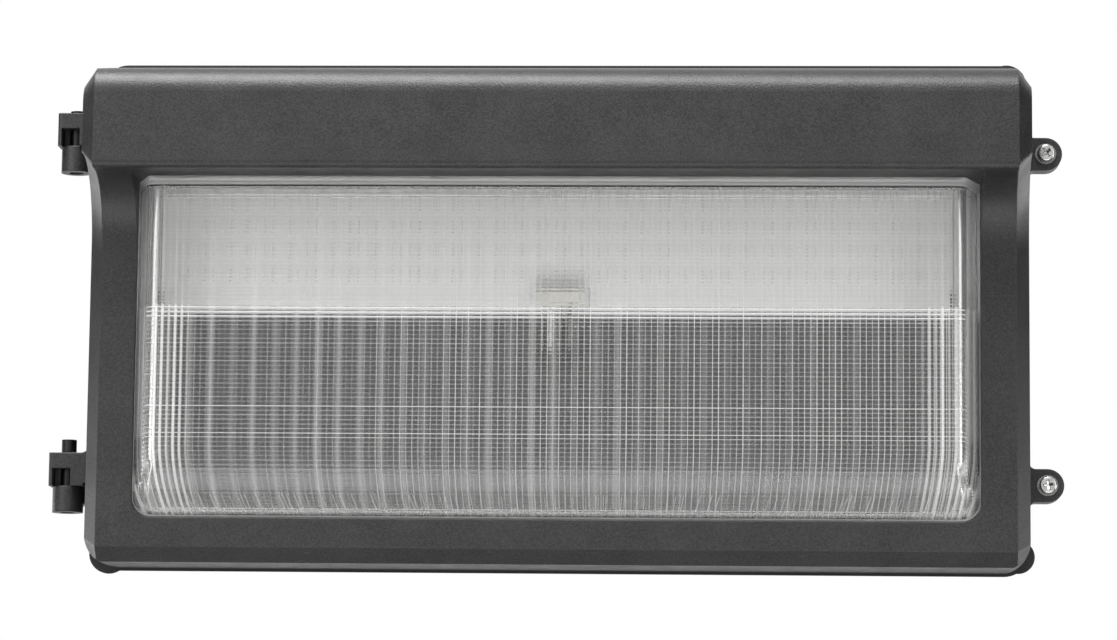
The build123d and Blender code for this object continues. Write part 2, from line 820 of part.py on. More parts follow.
def make_conduit_plugs():
    """Plugs in the left, right and top conduit entries."""
    plug = hex_plug(conduit_radius - screw_slip, 9.0, conduit_radius + 2.5, 4.0)
    left = Pos(-entry_side_x, conduit_y, 0) * Rot(0, 90, 0) * plug
    right = Pos(entry_side_x, conduit_y, 0) * Rot(0, -90, 0) * plug
    top = Pos(0, conduit_y, entry_top_z) * Rot(180, 0, 0) * plug
    return Compound(children=[left, right, top])


def make_heat_plate():
    """Aluminium plate that carries the LED board."""
    top = heat_plate_bottom + heat_plate_height
    plate = block(-plate_half, plate_half, box_rim_y, heat_plate_back_y, heat_plate_bottom, top)
    for x, y, z in heat_screw_places():
        plate -= rod_y(x, y - 1, y + 10, z, plate_screw_radius + screw_slip)
    for x, z in board_screw_places():
        plate -= rod_y(x, box_rim_y - 1, heat_plate_back_y + 1, z, clip_screw_radius + screw_slip)
    return plate


def board_screw_places():
    """Screws of the LED board, as (x, z): a row along the top edge and one at each lower end."""
    start = -board_width / 2 + board_screw_inset
    pitch = -2 * start / (board_screw_count - 1)
    places = [(start + index * pitch, board_screw_z) for index in range(board_screw_count)]
    end_x = board_width / 2 - 5
    return places + [(-end_x, board_bottom + 5), (end_x, board_bottom + 5)]


def make_led_board():
    """White metal-core board."""
    half = board_width / 2
    board = block(-half, half, board_front_y, board_y, board_bottom, board_bottom + board_height)
    for x, z in board_screw_places():
        board -= rod_y(x, board_front_y - 1, board_y + 1, z, clip_screw_radius + screw_slip)
    return board


def make_led_chips():
    """Grid of LED packages on the board."""
    chips = []
    chip_columns = round((board_width - 2 * chip_end_margin) / chip_pitch - 0.49) + 1
    first_x = -chip_pitch * (chip_columns - 1) / 2
    first_z = board_bottom + 16.0
    row_pitch = 11.0
    for row in range(chip_rows):
        for column in range(chip_columns):
            x = first_x + column * chip_pitch
            z = first_z + row * row_pitch
            chip = Pos(x, board_front_y - chip_height / 2, z) * Box(chip_size, chip_height, chip_size)
            chips.append(chip)
    return Compound(children=chips)


def make_board_screws():
    """Screws that hold the LED board to the heat plate."""
    screws = [
        pan_screw(x, board_front_y, z, clip_screw_radius, 2.7, 1.9, board_thickness + 2.8, 1)
        for x, z in board_screw_places()
    ]
    return Compound(children=screws)


connector_width = 22.0
connector_height = 8.0
connector_depth = 6.0
connector_bottom = board_bottom + 1.0


def make_connector():
    """Board connector at the lower middle of the LED board."""
    back = board_front_y
    shape = block(
        -connector_width / 2,
        connector_width / 2,
        back - connector_depth,
        back,
        connector_bottom,
        connector_bottom + connector_height,
    )
    for x in lead_x:
        shape -= rod_z(x, lead_front_y, connector_bottom - 1, connector_bottom + 4, lead_radius + screw_slip)
    return shape


lead_x = [-4.0, 4.0]
lead_front_y = board_front_y - connector_depth / 2
grommet_radius = 9.0


def make_gear_plate():
    """Grey sheet-metal plate over the driver space, with a grommet hole."""
    front = heat_plate_back_y - gear_plate_thickness
    plate = block(-plate_half, plate_half, front, heat_plate_back_y, gear_plate_bottom, gear_plate_top)
    for x, y, z in gear_screw_places():
        plate -= rod_y(x, y - 1, y + 5, z, plate_screw_radius + screw_slip)
    return plate - rod_y(0, front - 1, heat_plate_back_y + 1, grommet_z, grommet_radius)


def make_grommet():
    """Rubber grommet where the leads pass the gear plate."""
    front = heat_plate_back_y - gear_plate_thickness
    body = rod_y(0, front, heat_plate_back_y, grommet_z, grommet_radius)
    body += rod_y(0, front - 1.5, front, grommet_z, grommet_radius + 2)
    body += rod_y(0, heat_plate_back_y, heat_plate_back_y + 1.5, grommet_z, grommet_radius + 2)
    for x in lead_x:
        body -= rod_y(x, front - 3, heat_plate_back_y + 3, grommet_z, lead_radius + screw_slip)
    return body


def make_plate_screws(places):
    """Screws of the heat plate or the gear plate."""
    screws = [
        pan_screw(
            x,
            y,
            z,
            plate_screw_radius,
            plate_screw_head_radius,
            plate_screw_head_height,
            plate_screw_depth - 0.5,
            1,
        )
        for x, y, z in places
    ]
    return Compound(children=screws)


def make_driver():
    """LED driver in a sheet-metal case with a foot at each end."""
    low_x = driver_x - driver_length / 2
    high_x = driver_x + driver_length / 2
    low_z = driver_z - driver_height / 2
    high_z = driver_z + driver_height / 2
    case = block(low_x, high_x, post_face_y - driver_depth, post_face_y, low_z, high_z)
    case = fillet(case.edges().filter_by(Axis.X), 3.0)
    foot = block(
        low_x - driver_tab,
        high_x + driver_tab,
        post_face_y - driver_tab_thickness,
        post_face_y,
        driver_z - 12,
        driver_z + 12,
    )
    driver = case + foot
    for x in driver_screw_x:
        driver -= rod_y(x, post_face_y - 10, post_face_y + 1, driver_z, clip_screw_radius + screw_slip)
    for x in lead_x:
        lead_place = driver_x + driver_lead_offset + x
        driver -= rod_z(lead_place, driver_lead_y, high_z - 3, high_z + 1, lead_radius + screw_slip)
    for index in (-1, 0):
        level = supply_lead_z + index * supply_spacing
        driver -= rod_x(high_x - 3, high_x + 1, driver_lead_y, level, lead_radius + screw_slip)
    return driver


driver_lead_y = post_face_y - driver_depth / 2


def make_driver_screws():
    """Screws through the driver's feet."""
    seat = post_face_y - driver_tab_thickness
    screws = [
        pan_screw(x, seat, driver_z, clip_screw_radius, 3.0, 2.0, driver_screw_length, 1)
        for x in driver_screw_x
    ]
    return Compound(children=screws)


def make_output_lead(offset):
    """Lead from the driver through the grommet up to the board connector."""
    start_x = driver_x + driver_lead_offset + offset
    start_z = driver_z + driver_height / 2 - 3
    points = [
        (start_x, driver_lead_y, start_z),
        (start_x, driver_lead_y, grommet_z - 4),
        (offset, lead_turn_y, grommet_z),
        (offset, lead_front_y, grommet_z),
        (offset, lead_front_y, connector_bottom + 4),
    ]
    route = FilletPolyline(*points, radius=lead_bends)
    disc = Plane(origin=points[0], z_dir=(0, 0, 1)) * Circle(lead_radius)
    return sweep(disc, path=route)


lead_turn_y = -75.0
driver_lead_offset = 60.0
lead_bends = [8.0, 12.0, 5.0]


def make_supply_leads():
    """Two leads from the terminal block to the driver's supply end."""
    leads = []
    start_x = driver_x + driver_length / 2 - 3
    for index in (-1, 0):
        entry_x = terminal_x + index * terminal_pitch
        level = supply_lead_z + index * supply_spacing
        crest = terminal_z + terminal_height / 2 + 14.0 - index * supply_spacing
        points = [
            (start_x, driver_lead_y, level),
            (start_x + 12, driver_lead_y, level),
            (start_x + 22 + index * 4, terminal_entry_y, crest),
            (entry_x, terminal_entry_y, crest + 2),
            (entry_x, terminal_entry_y, terminal_z + 3),
        ]
        route = FilletPolyline(*points, radius=supply_bends)
        disc = Plane(origin=points[0], z_dir=(1, 0, 0)) * Circle(lead_radius)
        leads.append(sweep(disc, path=route))
    return Compound(children=leads)


supply_spacing = 8.0
supply_lead_z = driver_z + 8.0
supply_bends = [5.0, 6.0, 6.0]
terminal_pitch = 9.0
terminal_entry_y = post_face_y - 6.0


def make_terminal_block():
    """Two-pole supply terminal block on posts."""
    half = terminal_length / 2
    back = post_face_y
    shape = block(
        terminal_x - half,
        terminal_x + half,
        back - terminal_depth,
        back,
        terminal_z - terminal_height / 2,
        terminal_z + terminal_height / 2,
    )
    for x in (terminal_x - half + 4, terminal_x + half - 4):
        shape -= rod_y(x, back - terminal_depth - 1, back + 1, terminal_z, clip_screw_radius + screw_slip)
    for index in (-1, 0, 1):
        x = terminal_x + index * terminal_pitch
        shape -= rod_y(x, back - terminal_depth - 1, back - terminal_depth + 5, terminal_z, 3.0)
        entry_top = terminal_z + terminal_height / 2 + 1
        shape -= rod_z(x, terminal_entry_y, terminal_z + 2, entry_top, lead_radius + screw_slip)
    return shape


def make_terminal_screws():
    """Fixing screws and clamp screws of the terminal block."""
    half = terminal_length / 2
    front = post_face_y - terminal_depth
    screws = [
        pan_screw(x, front, terminal_z, clip_screw_radius, 2.6, 1.8, terminal_depth + 5, 1)
        for x in (terminal_x - half + 4, terminal_x + half - 4)
    ]
    for index in (-1, 0, 1):
        screws.append(
            rod_y(terminal_x + index * terminal_pitch, front + 2, front + 5, terminal_z, 2.9)
        )
    return Compound(children=screws)


def make_surge_protector():
    """Round surge protector clipped flat against the back wall."""
    half = surge_length / 2
    body = rod_x(surge_x - half, surge_x + half, inside_back_y - surge_radius, surge_z, surge_radius)
    foot = block(
        surge_x - half,
        surge_x + half,
        inside_back_y - 6,
        inside_back_y,
        surge_z - surge_radius,
        surge_z + surge_radius,
    )
    return body + foot


def make_earth_screw():
    """Earth screw in its post."""
    return pan_screw(earth_x, post_face_y, earth_z, clip_screw_radius, 4.0, 2.4, 5.5, 1)


# ------------------------------------------------------------------- export
nodes = {
    "back_box": make_back_box(),
    "hinge_pin_upper": make_hinge_pin(hinge_seats[0], upper_pin_stub),
    "hinge_pin_lower": make_hinge_pin(hinge_seats[1], lower_pin_stub),
    "housing_gasket": make_housing_gasket(),
    "wall_gasket": make_wall_gasket(),
    "conduit_plugs": make_conduit_plugs(),
    "heat_plate": make_heat_plate(),
    "heat_plate_screws": make_plate_screws(heat_screw_places()),
    "led_board": make_led_board(),
    "led_board_screws": make_board_screws(),
    "led_chips": make_led_chips(),
    "led_connector": make_connector(),
    "lead_positive": make_output_lead(lead_x[0]),
    "lead_negative": make_output_lead(lead_x[1]),
    "supply_leads": make_supply_leads(),
    "lead_grommet": make_grommet(),
    "gear_plate": make_gear_plate(),
    "gear_plate_screws": make_plate_screws(gear_screw_places()),
    "led_driver": make_driver(),
    "driver_screws": make_driver_screws(),
    "terminal_block": make_terminal_block(),
    "terminal_screws": make_terminal_screws(),
    "surge_protector": make_surge_protector(),
    "earth_screw": make_earth_screw(),
    "door_frame": make_door_frame(),
    "glass_refractor": make_glass(),
    "glass_gasket": make_glass_gasket(),
    "glass_clips": make_glass_clips(),
    "clip_screws": make_clip_screws(),
    "ear_screw_upper": make_ear_screw(ear_heights[0]),
    "ear_screw_lower": make_ear_screw(ear_heights[1]),
    "ear_washers_upper": make_ear_washers(ear_heights[0]),
    "ear_washers_lower": make_ear_washers(ear_heights[1]),
}

for name, shape in nodes.items():
    export_step(shape, f"parts/{name}.step")
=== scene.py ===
# %% [markdown]
# # A wall pack light, dressed for the camera
# The solids come from a CAD program and stay exactly where they are. This lesson gives each of
# them a finish, and builds the few pieces whose looks depend on fine shape: the pressed glass
# refractor, the LED packages behind it and the screws that close the door.

# %% Load the frame
import math
import bmesh
import bpy
from mathutils import Matrix, Vector


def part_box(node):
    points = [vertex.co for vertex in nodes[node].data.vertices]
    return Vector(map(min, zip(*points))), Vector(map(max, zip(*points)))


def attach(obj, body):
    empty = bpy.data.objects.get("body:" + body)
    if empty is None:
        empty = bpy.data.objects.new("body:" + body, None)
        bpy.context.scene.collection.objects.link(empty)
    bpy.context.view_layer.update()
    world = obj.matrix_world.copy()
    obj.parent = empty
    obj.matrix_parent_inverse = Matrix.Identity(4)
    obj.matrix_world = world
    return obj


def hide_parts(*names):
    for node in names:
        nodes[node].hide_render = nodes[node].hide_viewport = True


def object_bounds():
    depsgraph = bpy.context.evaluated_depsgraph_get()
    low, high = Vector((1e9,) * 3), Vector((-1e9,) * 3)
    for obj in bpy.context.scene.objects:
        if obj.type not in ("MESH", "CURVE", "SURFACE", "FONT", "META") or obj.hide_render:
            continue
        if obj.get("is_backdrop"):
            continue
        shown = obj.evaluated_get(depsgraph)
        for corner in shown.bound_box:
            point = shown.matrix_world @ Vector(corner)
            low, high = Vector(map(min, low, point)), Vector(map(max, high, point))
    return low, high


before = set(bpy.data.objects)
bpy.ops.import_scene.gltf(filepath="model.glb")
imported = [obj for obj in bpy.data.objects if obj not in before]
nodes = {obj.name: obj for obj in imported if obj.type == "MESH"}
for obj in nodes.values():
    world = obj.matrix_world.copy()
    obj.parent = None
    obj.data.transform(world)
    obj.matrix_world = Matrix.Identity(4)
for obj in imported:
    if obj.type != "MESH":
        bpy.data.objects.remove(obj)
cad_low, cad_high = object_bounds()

MM = 0.001
scene = bpy.context.scene

# %% [markdown]
# ## Camera
# The photograph looks up at the light a little, from slightly right of its middle, with a long
# lens. The numbers come from matching the corners of the castings. A Track To constraint could
# aim the camera, but a plain matrix keeps the small roll of the picture as well.

# %% Camera
aim = Vector((-1.4, -107.1, 0.7)) * MM
camera_distance = 1800 * MM
camera_azimuth = math.radians(2.856)
camera_elevation = math.radians(-7.626)
camera_roll = math.radians(0.608)
photo_width = 1117
focal_pixels = 3914.5

away = Vector((
    math.sin(camera_azimuth) * math.cos(camera_elevation),
    -math.cos(camera_azimuth) * math.cos(camera_elevation),
    math.sin(camera_elevation),
))
level_right = (-away).cross(Vector((0, 0, 1))).normalized()
level_up = level_right.cross(-away)
right = level_right * math.cos(camera_roll) + level_up * math.sin(camera_roll)
up = level_up * math.cos(camera_roll) - level_right * math.sin(camera_roll)
turn = Matrix((right, up, away)).transposed().to_4x4()

lens = bpy.data.cameras.new("photo_camera")
lens.sensor_width = 36.0
lens.lens = focal_pixels * lens.sensor_width / photo_width
camera = bpy.data.objects.new("photo_camera", lens)
camera.matrix_world = Matrix.Translation(aim + away * camera_distance) @ turn
scene.collection.objects.link(camera)
scene.camera = camera
scene.view_settings.view_transform = "Standard"
print("lens", round(lens.lens, 1), "mm")

# %% [markdown]
# ## Helpers for materials
# Colours are written as sRGB hex values, the way a paint chip or a picture editor gives them.
# Blender's shaders count in linear light, so one function converts them. A second function adds
# a node, sets its inputs and links others, so that a material reads as a short recipe. Almost
# every finish here is two near colours, a roughness and a relief that follow some pattern, so
# one more function makes those three links.

# %% Helpers for materials
NOISE_LOW, NOISE_HIGH = 0.35, 0.65  # nearly all values of a noise texture lie between these


def linear(hex_colour):
    """sRGB hex text to a linear RGBA tuple."""
    channels = []
    for start in (1, 3, 5):
        value = int(hex_colour[start:start + 2], 16) / 255
        channels.append(value / 12.92 if value <= 0.04045 else ((value + 0.055) / 1.055) ** 2.4)
    return (*channels, 1.0)


def add(tree, kind, inputs=(), **settings):
    """Add a node. Its inputs, in socket order or by name, are values, sockets or whole nodes."""
    node = tree.nodes.new(kind)
    for name, value in settings.items():
        setattr(node, name, value)
    pairs = inputs.items() if isinstance(inputs, dict) else enumerate(inputs)
    for key, value in pairs:
        if isinstance(value, bpy.types.Node):
            value = next(output for output in value.outputs if output.enabled)
        if isinstance(value, bpy.types.NodeSocket):
            tree.links.new(value, node.inputs[key])
        else:
            node.inputs[key].default_value = value
    return node


def start_material(name, **principled):
    """New material; returns (material, tree, Principled shader, object coordinates)."""
    material = bpy.data.materials.new(name)
    material.use_nodes = True
    tree = material.node_tree
    shader = tree.nodes["Principled BSDF"]
    for key, value in principled.items():
        shader.inputs[key.replace("_", " ")].default_value = value
    place = tree.nodes.new("ShaderNodeTexCoord").outputs["Object"]
    return material, tree, shader, place


def grain(tree, place, size_mm, detail=2.0, stretch=(1, 1, 1)):
    """Noise whose grains are about size_mm across, or longer along an axis stretched below 1."""
    mapped = add(tree, "ShaderNodeMapping", {"Vector": place, "Scale": stretch})
    return add(tree, "ShaderNodeTexNoise", {
        "Vector": mapped, "Scale": 1 / (size_mm * MM), "Detail": detail, "Roughness": 0.55,
    })


def finish(tree, shader, tone, dark, light, span=(NOISE_LOW, NOISE_HIGH),
           rough=None, height=None, depth_mm=0.01, strength=0.5):
    """Colour from dark to light as tone goes over span; rough is (pattern, lowest, highest), and
    height is the pattern of a bump depth_mm high. Returns the colour node and the bump node."""
    share = add(tree, "ShaderNodeMapRange", [tone, *span])
    colour = add(tree, "ShaderNodeMix", {0: share, 6: linear(dark), 7: linear(light)},
                 data_type="RGBA")
    tree.links.new(colour.outputs[2], shader.inputs["Base Color"])
    if rough is not None:
        pattern, lowest, highest = rough
        value = add(tree, "ShaderNodeMapRange",
                    [pattern, NOISE_LOW, NOISE_HIGH, lowest, highest])
        tree.links.new(value.outputs["Result"], shader.inputs["Roughness"])
    bump = None
    if height is not None:
        bump = add(tree, "ShaderNodeBump", {
            "Height": height, "Distance": depth_mm * MM, "Strength": strength,
        })
        tree.links.new(bump.outputs["Normal"], shader.inputs["Normal"])
    return colour, bump


def dress(material, *names):
    """Put a material on CAD nodes, by name."""
    for name in names:
        for material_slot in nodes[name].material_slots:
            material_slot.material = material


# %% [markdown]
# ## Powder coat on cast aluminium
# Both castings are painted with a charcoal polyester powder. The powder melts into a film with a
# fine orange peel, so highlights are soft and edges are slightly round. The peel could be real
# displacement, but it is under a tenth of a millimetre high, so a bump is enough. The Bevel node
# rounds the sharp CAD edges in the shading only, and its difference from the true normal also tells
# where an edge is. There the colour is painted paler: partly the wear of handling, partly a painted
# highlight along the edge. The real specks are about 0.3 mm wide, less than a pixel of the render,
# so they are drawn 0.75 to 0.85 mm wide.

# %% Powder coat
edge_radius = 0.9 * MM
paint_relief_mm = 0.07  # orange peel, under a tenth of a millimetre high


def powder_coat(name, dark, light, edge, speck_mm):
    """Satin charcoal: the eye sees soft highlights, fine specks and slightly paler edges, partly
    wear and partly a painted highlight.
    """
    material, tree, shader, place = start_material(
        name, Roughness=0.38, Specular_IOR_Level=0.36, IOR=1.5
    )
    rounded = add(tree, "ShaderNodeBevel", {"Radius": edge_radius}, samples=4)
    true = add(tree, "ShaderNodeNewGeometry")
    facing = add(tree, "ShaderNodeVectorMath", [rounded, true.outputs["Normal"]],
                 operation="DOT_PRODUCT")
    # paler edges: partly wear, partly a painted highlight along each edge
    paler_edge_wear_and_highlight = add(tree, "ShaderNodeMapRange", {
        "Value": facing.outputs["Value"], "From Min": 0.97, "From Max": 0.80, "To Max": 0.55,
    })
    specks = add(tree, "ShaderNodeMapRange", [grain(tree, place, speck_mm), NOISE_LOW, NOISE_HIGH])
    clouds = add(tree, "ShaderNodeMapRange", [grain(tree, place, 28, 3.0), NOISE_LOW, NOISE_HIGH])
    shade = add(tree, "ShaderNodeMix", {"Factor": 0.25, "A": specks, "B": clouds})
    body, bump = finish(tree, shader, shade, dark, light, span=(0.0, 1.0),
                        rough=(grain(tree, place, 9), 0.35, 0.41),
                        height=specks, depth_mm=paint_relief_mm, strength=0.6)
    paint = add(tree, "ShaderNodeMix", {0: paler_edge_wear_and_highlight, 6: body, 7: linear(edge)}, data_type="RGBA")
    tree.links.new(paint.outputs[2], shader.inputs["Base Color"])
    tree.links.new(rounded.outputs["Normal"], bump.inputs["Normal"])
    return material


# the third colour is for the edges, painted paler: partly wear, partly a painted highlight
door_paint = powder_coat("charcoal_powder_coat_door", "#151515", "#333333", "#393939", 0.75)
box_paint = powder_coat("charcoal_powder_coat_box", "#151515", "#303030", "#363636", 0.85)
dress(door_paint, "door_frame")
dress(box_paint, "back_box", "conduit_plugs")
print("paint on", [nodes[n].name for n in ("door_frame", "back_box", "conduit_plugs")])

# %% [markdown]
# ## Rubber and foam
# The ring between the castings is black silicone rubber, moulded, matt and slightly dusty. So are
# the grommet and the gasket under the glass. The pad on the wall side is closed-cell foam, whose
# cut cells show as fine pits, drawn at twice their real size.

# %% Rubber and foam
def moulded_rubber():
    """Black silicone: the eye sees a matt, faintly dusty black with a broad dull sheen."""
    material, tree, shader, place = start_material(
        "moulded_black_silicone", Roughness=0.6, IOR=1.43
    )
    finish(tree, shader, grain(tree, place, 6, 4.0), "#0C0C0D", "#161617",
           rough=(grain(tree, place, 3), 0.52, 0.70),
           height=grain(tree, place, 0.6, 3.0), depth_mm=0.04)
    return material


def closed_cell_foam():
    """Black foam: the eye sees pits 0.8 mm apart, each painted darker towards its bottom as painted
    shade, and no gloss at all.
    """
    material, tree, shader, place = start_material("closed_cell_foam", Roughness=0.95, IOR=1.4)
    cells = add(tree, "ShaderNodeTexVoronoi", {"Vector": place, "Scale": 1 / (0.8 * MM)})
    # the colour is darker towards the middle of each pit: painted shade in the pits
    finish(tree, shader, cells, "#141415", "#2A2A2C", span=(0.0, 1.0),
           height=cells, depth_mm=0.3, strength=0.7)
    return material


dress(moulded_rubber(), "housing_gasket", "glass_gasket", "lead_grommet")
dress(closed_cell_foam(), "wall_gasket")
print("rubber and foam done")

# %% [markdown]
# ## Metals
# Stainless and zinc-plated screws, aluminium sheet, spring steel clips. A metal's colour is its
# reflection, so each has metallic 1 and a roughness from how it was made: plated and turned parts
# are slightly mottled, rolled sheet carries long scratches in one direction. Such marks are a few
# hundredths of a millimetre wide, and are drawn 1 to 3 mm wide, because finer ones don't show.

# %% Metals
EVEN = (1, 1, 1)


def metal(name, dark, light, rough_low, rough_high, streak_mm, stretch=EVEN, depth_mm=0.01):
    """Bare or plated metal, whose streaks change its colour, roughness and relief together."""
    material, tree, shader, place = start_material(name, Metallic=1.0)
    streaks = grain(tree, place, streak_mm, 3.0, stretch)
    finish(tree, shader, streaks, dark, light, rough=(streaks, rough_low, rough_high),
           height=streaks, depth_mm=depth_mm, strength=0.4)
    return material


# the brightest metal on the light: small, clear reflections in the cross recess
stainless = metal("turned_stainless_steel", "#A8A8A7", "#C6C6C5", 0.14, 0.26, 1.2)
# plain steel: a duller grey ring under each bright head
washer_steel = metal("plain_steel_washer", "#6A6A6A", "#8C8C8C", 0.20, 0.34, 0.9, EVEN, 0.02)
# zinc plate: pale and slightly blue, with soft spots
zinc_plate = metal("bright_zinc_plated_steel", "#A9ABAD", "#C3C5C8", 0.24, 0.38, 1.5)
# rolled sheet: a broad grey sheen, with scratches that run along the sheet
sheet = metal("rolled_aluminium_sheet", "#9A9B9D", "#A9AAAC", 0.40, 0.52, 2.5, (0.05, 1, 1))
# spring strip: grey, with the rolling marks along the clip
spring = metal("spring_steel_strip", "#8A8B8C", "#A2A3A4", 0.28, 0.42, 2.0, (1, 1, 0.1))
# blackened pins and screws: almost black, with a thin dark gloss
pin_steel = metal("blackened_steel_pin", "#262626", "#343434", 0.34, 0.48, 1.5, (1, 1, 0.2))
black_oxide = metal("black_oxide_steel", "#1E1E1F", "#2C2C2D", 0.36, 0.50, 1.2)
# green passivation: the one coloured screw, where the earth wire goes
earth_steel = metal("green_passivated_steel", "#1F6B38", "#2C8548", 0.30, 0.42, 1.5)
# a driver's folded case: satin, with scratches along its length
case = metal("satin_aluminium_case", "#A6A8AB", "#BBBDC0", 0.34, 0.46, 3.0, (0.06, 1, 1))
dress(washer_steel, "ear_washers_upper", "ear_washers_lower")
dress(zinc_plate, "heat_plate_screws", "gear_plate_screws", "driver_screws",
      "terminal_screws", "clip_screws")
dress(black_oxide, "led_board_screws")
dress(sheet, "heat_plate")
dress(spring, "glass_clips")
dress(pin_steel, "hinge_pin_upper", "hinge_pin_lower")
dress(earth_steel, "earth_screw")
dress(case, "led_driver")
print("screws of the glass and terminals:", zinc_plate.name)

# %% [markdown]
# ## Painted plate and wiring parts
# The gear plate is sheet steel with a dark grey baked enamel. The surge protector is black moulded
# nylon, and the terminal block and the board's connector are off-white nylon. The leads wear
# silicone, the supply wires plain thermoplastic. Moulded parts get a faint spark-eroded texture,
# drawn at 0.5 mm or more, about five times its real size, so that it shows. They differ only in
# colour, gloss and grain, so a table of them is clearer than six functions.

# %% Painted plate and wiring parts
def moulded(name, dark, light, rough, grain_mm, depth_mm):
    """Paint or plastic: the eye sees one even colour, a soft gloss and a hint of texture."""
    material, tree, shader, place = start_material(name, IOR=1.5, Roughness=rough)
    finish(tree, shader, grain(tree, place, 12, 3.0), dark, light,
           rough=(grain(tree, place, 4), rough - 0.05, rough + 0.06),
           height=grain(tree, place, grain_mm), depth_mm=depth_mm)
    return material


# name, darkest and lightest colour, roughness, grain and relief in mm, and the nodes it goes on
mouldings = (
    ("grey_baked_enamel", "#2C2C2D", "#353536", 0.45, 1.5, 0.02, "gear_plate"),
    ("black_moulded_nylon", "#151516", "#1E1E20", 0.48, 0.5, 0.03, "surge_protector"),
    ("white_moulded_nylon", "#DAD9D2", "#E4E3DC", 0.42, 0.6, 0.02,
     "terminal_block", "led_connector"),
    ("white_silicone_insulation", "#CFCFCB", "#DADAD6", 0.45, 0.8, 0.01, "lead_positive"),
    ("grey_silicone_insulation", "#6A6A6A", "#757575", 0.45, 0.8, 0.01, "lead_negative"),
    ("grey_thermoplastic_insulation", "#3A3B3D", "#45464A", 0.45, 0.8, 0.01, "supply_leads"),
)
for name, dark, light, rough, grain_mm, depth_mm, *wearers in mouldings:
    dress(moulded(name, dark, light, rough, grain_mm, depth_mm), *wearers)
    print(name, "on", wearers)

# %% [markdown]
# ## LED board
# The board is aluminium under white solder mask. Its copper tracks are covered too, and show only
# as slightly raised bands between the packages. The mask is glossy, a little uneven and very
# white, because every bit of light that it throws back is useful.

# %% LED board
track_pitch_mm = 11.0


def solder_mask():
    """White mask: the eye sees an even, faintly glossy white with low bands in it."""
    material, tree, shader, place = start_material(
        "white_solder_mask", Roughness=0.30, IOR=1.5, Coat_Weight=0.2
    )
    waves_per_metre = math.pi / 10 / (track_pitch_mm * MM)
    tracks = add(tree, "ShaderNodeTexWave", {"Vector": place, "Scale": waves_per_metre},
                 wave_type="BANDS", bands_direction="Z", wave_profile="SIN")
    edge = add(tree, "ShaderNodeMapRange", [tracks.outputs["Fac"], 0.42, 0.50])
    finish(tree, shader, edge, "#EEEEEE", "#F5F5F5", span=(0.0, 1.0),
           height=edge, depth_mm=0.035, strength=0.6)
    return material


dress(solder_mask(), "led_board")
print("bands of the board every", track_pitch_mm, "mm")

# %% [markdown]
# ## LED packages
# Each package is a white moulded cup, 3 mm square, filled with phosphor gel. Its gel is drawn pale,
# because in the photograph the board shows no colour. One package is built as a small mesh.
# Geometry Nodes then puts a copy on every point of a grid, which is how a placing machine thinks of
# the board: a count and a pitch each way.

# %% One LED package
package_size = 3.0 * MM
package_height = 0.7 * MM
window_radius = 1.12 * MM
window_depth = 0.15 * MM
window_draft = 0.14 * MM  # the window is narrower at its floor, so that it leaves the mould
package_sides = 16


def phosphor_gel():
    """Soft, slightly cloudy gel: the eye sees a pale grey dot that is a little glossy."""
    material, tree, shader, place = start_material(
        "pale_phosphor_gel", Roughness=0.25, IOR=1.41, Subsurface_Weight=0.3
    )
    shader.inputs["Subsurface Radius"].default_value = (0.4 * MM, 0.35 * MM, 0.1 * MM)
    shader.inputs["Subsurface Scale"].default_value = 1.0
    finish(tree, shader, grain(tree, place, 0.5), "#BFBDB2", "#CBC9BF",
           height=grain(tree, place, 0.3), depth_mm=0.01, strength=0.3)
    return material


gel = phosphor_gel()
cup = moulded("white_package_moulding", "#EDEDEA", "#F6F6F3", 0.35, 0.4, 0.005)


def package_mesh():
    """White cup with a sunk round window of gel; its back lies on y = 0 and it faces -Y."""
    bm = bmesh.new()
    half = package_size / 2
    sides = package_sides
    turn_angles = [2 * math.pi * (index + 0.5) / sides for index in range(sides)]
    loops = []
    for radius, depth in (
        (window_radius, package_height),
        (window_radius - window_draft, package_height - window_depth),
    ):
        loops.append([
            bm.verts.new((radius * math.cos(a), -depth, radius * math.sin(a))) for a in turn_angles
        ])
    front = []
    back = []
    for angle in turn_angles:
        reach = half / max(abs(math.cos(angle)), abs(math.sin(angle)))
        x, z = reach * math.cos(angle), reach * math.sin(angle)
        front.append(bm.verts.new((x, -package_height, z)))
        back.append(bm.verts.new((x, 0, z)))
    for index in range(sides):
        following = (index + 1) % sides
        for outer, inner in ((back, front), (front, loops[0]), (loops[0], loops[1])):
            bm.faces.new((outer[index], outer[following], inner[following], inner[index]))
    window = bm.faces.new(loops[1])
    bm.faces.new(list(reversed(back)))
    bm.normal_update()
    bmesh.ops.recalc_face_normals(bm, faces=bm.faces)
    window.material_index = 1
    mesh = bpy.data.meshes.new("led_package")
    bm.to_mesh(mesh)
    bm.free()
    mesh.materials.append(cup)
    mesh.materials.append(gel)
    return mesh


one_package = bpy.data.objects.new("led_package", package_mesh())
print("faces in one package:", len(one_package.data.polygons))

# %% A grid of packages with Geometry Nodes
package_columns = 37
package_rows = 4


def new_tree(name, inputs):
    """Geometry node tree with inputs {name: type}; returns (tree, its inputs, its output node)."""
    tree = bpy.data.node_groups.new(name, "GeometryNodeTree")
    for label, kind in {"Geometry": "Geometry", **inputs}.items():
        tree.interface.new_socket(label, in_out="INPUT", socket_type="NodeSocket" + kind)
    tree.interface.new_socket("Geometry", in_out="OUTPUT", socket_type="NodeSocketGeometry")
    return tree, add(tree, "NodeGroupInput").outputs, add(tree, "NodeGroupOutput")


def run_tree(obj, tree, values):
    """Evaluate obj through tree with the named values and return a plain mesh."""
    modifier = obj.modifiers.new(tree.name, "NODES")
    modifier.node_group = tree
    for item in tree.interface.items_tree:
        if item.in_out == "INPUT" and item.name in values:
            modifier[item.identifier] = values[item.name]
    bpy.context.view_layer.update()
    graph = bpy.context.evaluated_depsgraph_get()
    mesh = bpy.data.meshes.new_from_object(obj.evaluated_get(graph))
    obj.modifiers.remove(modifier)
    return mesh


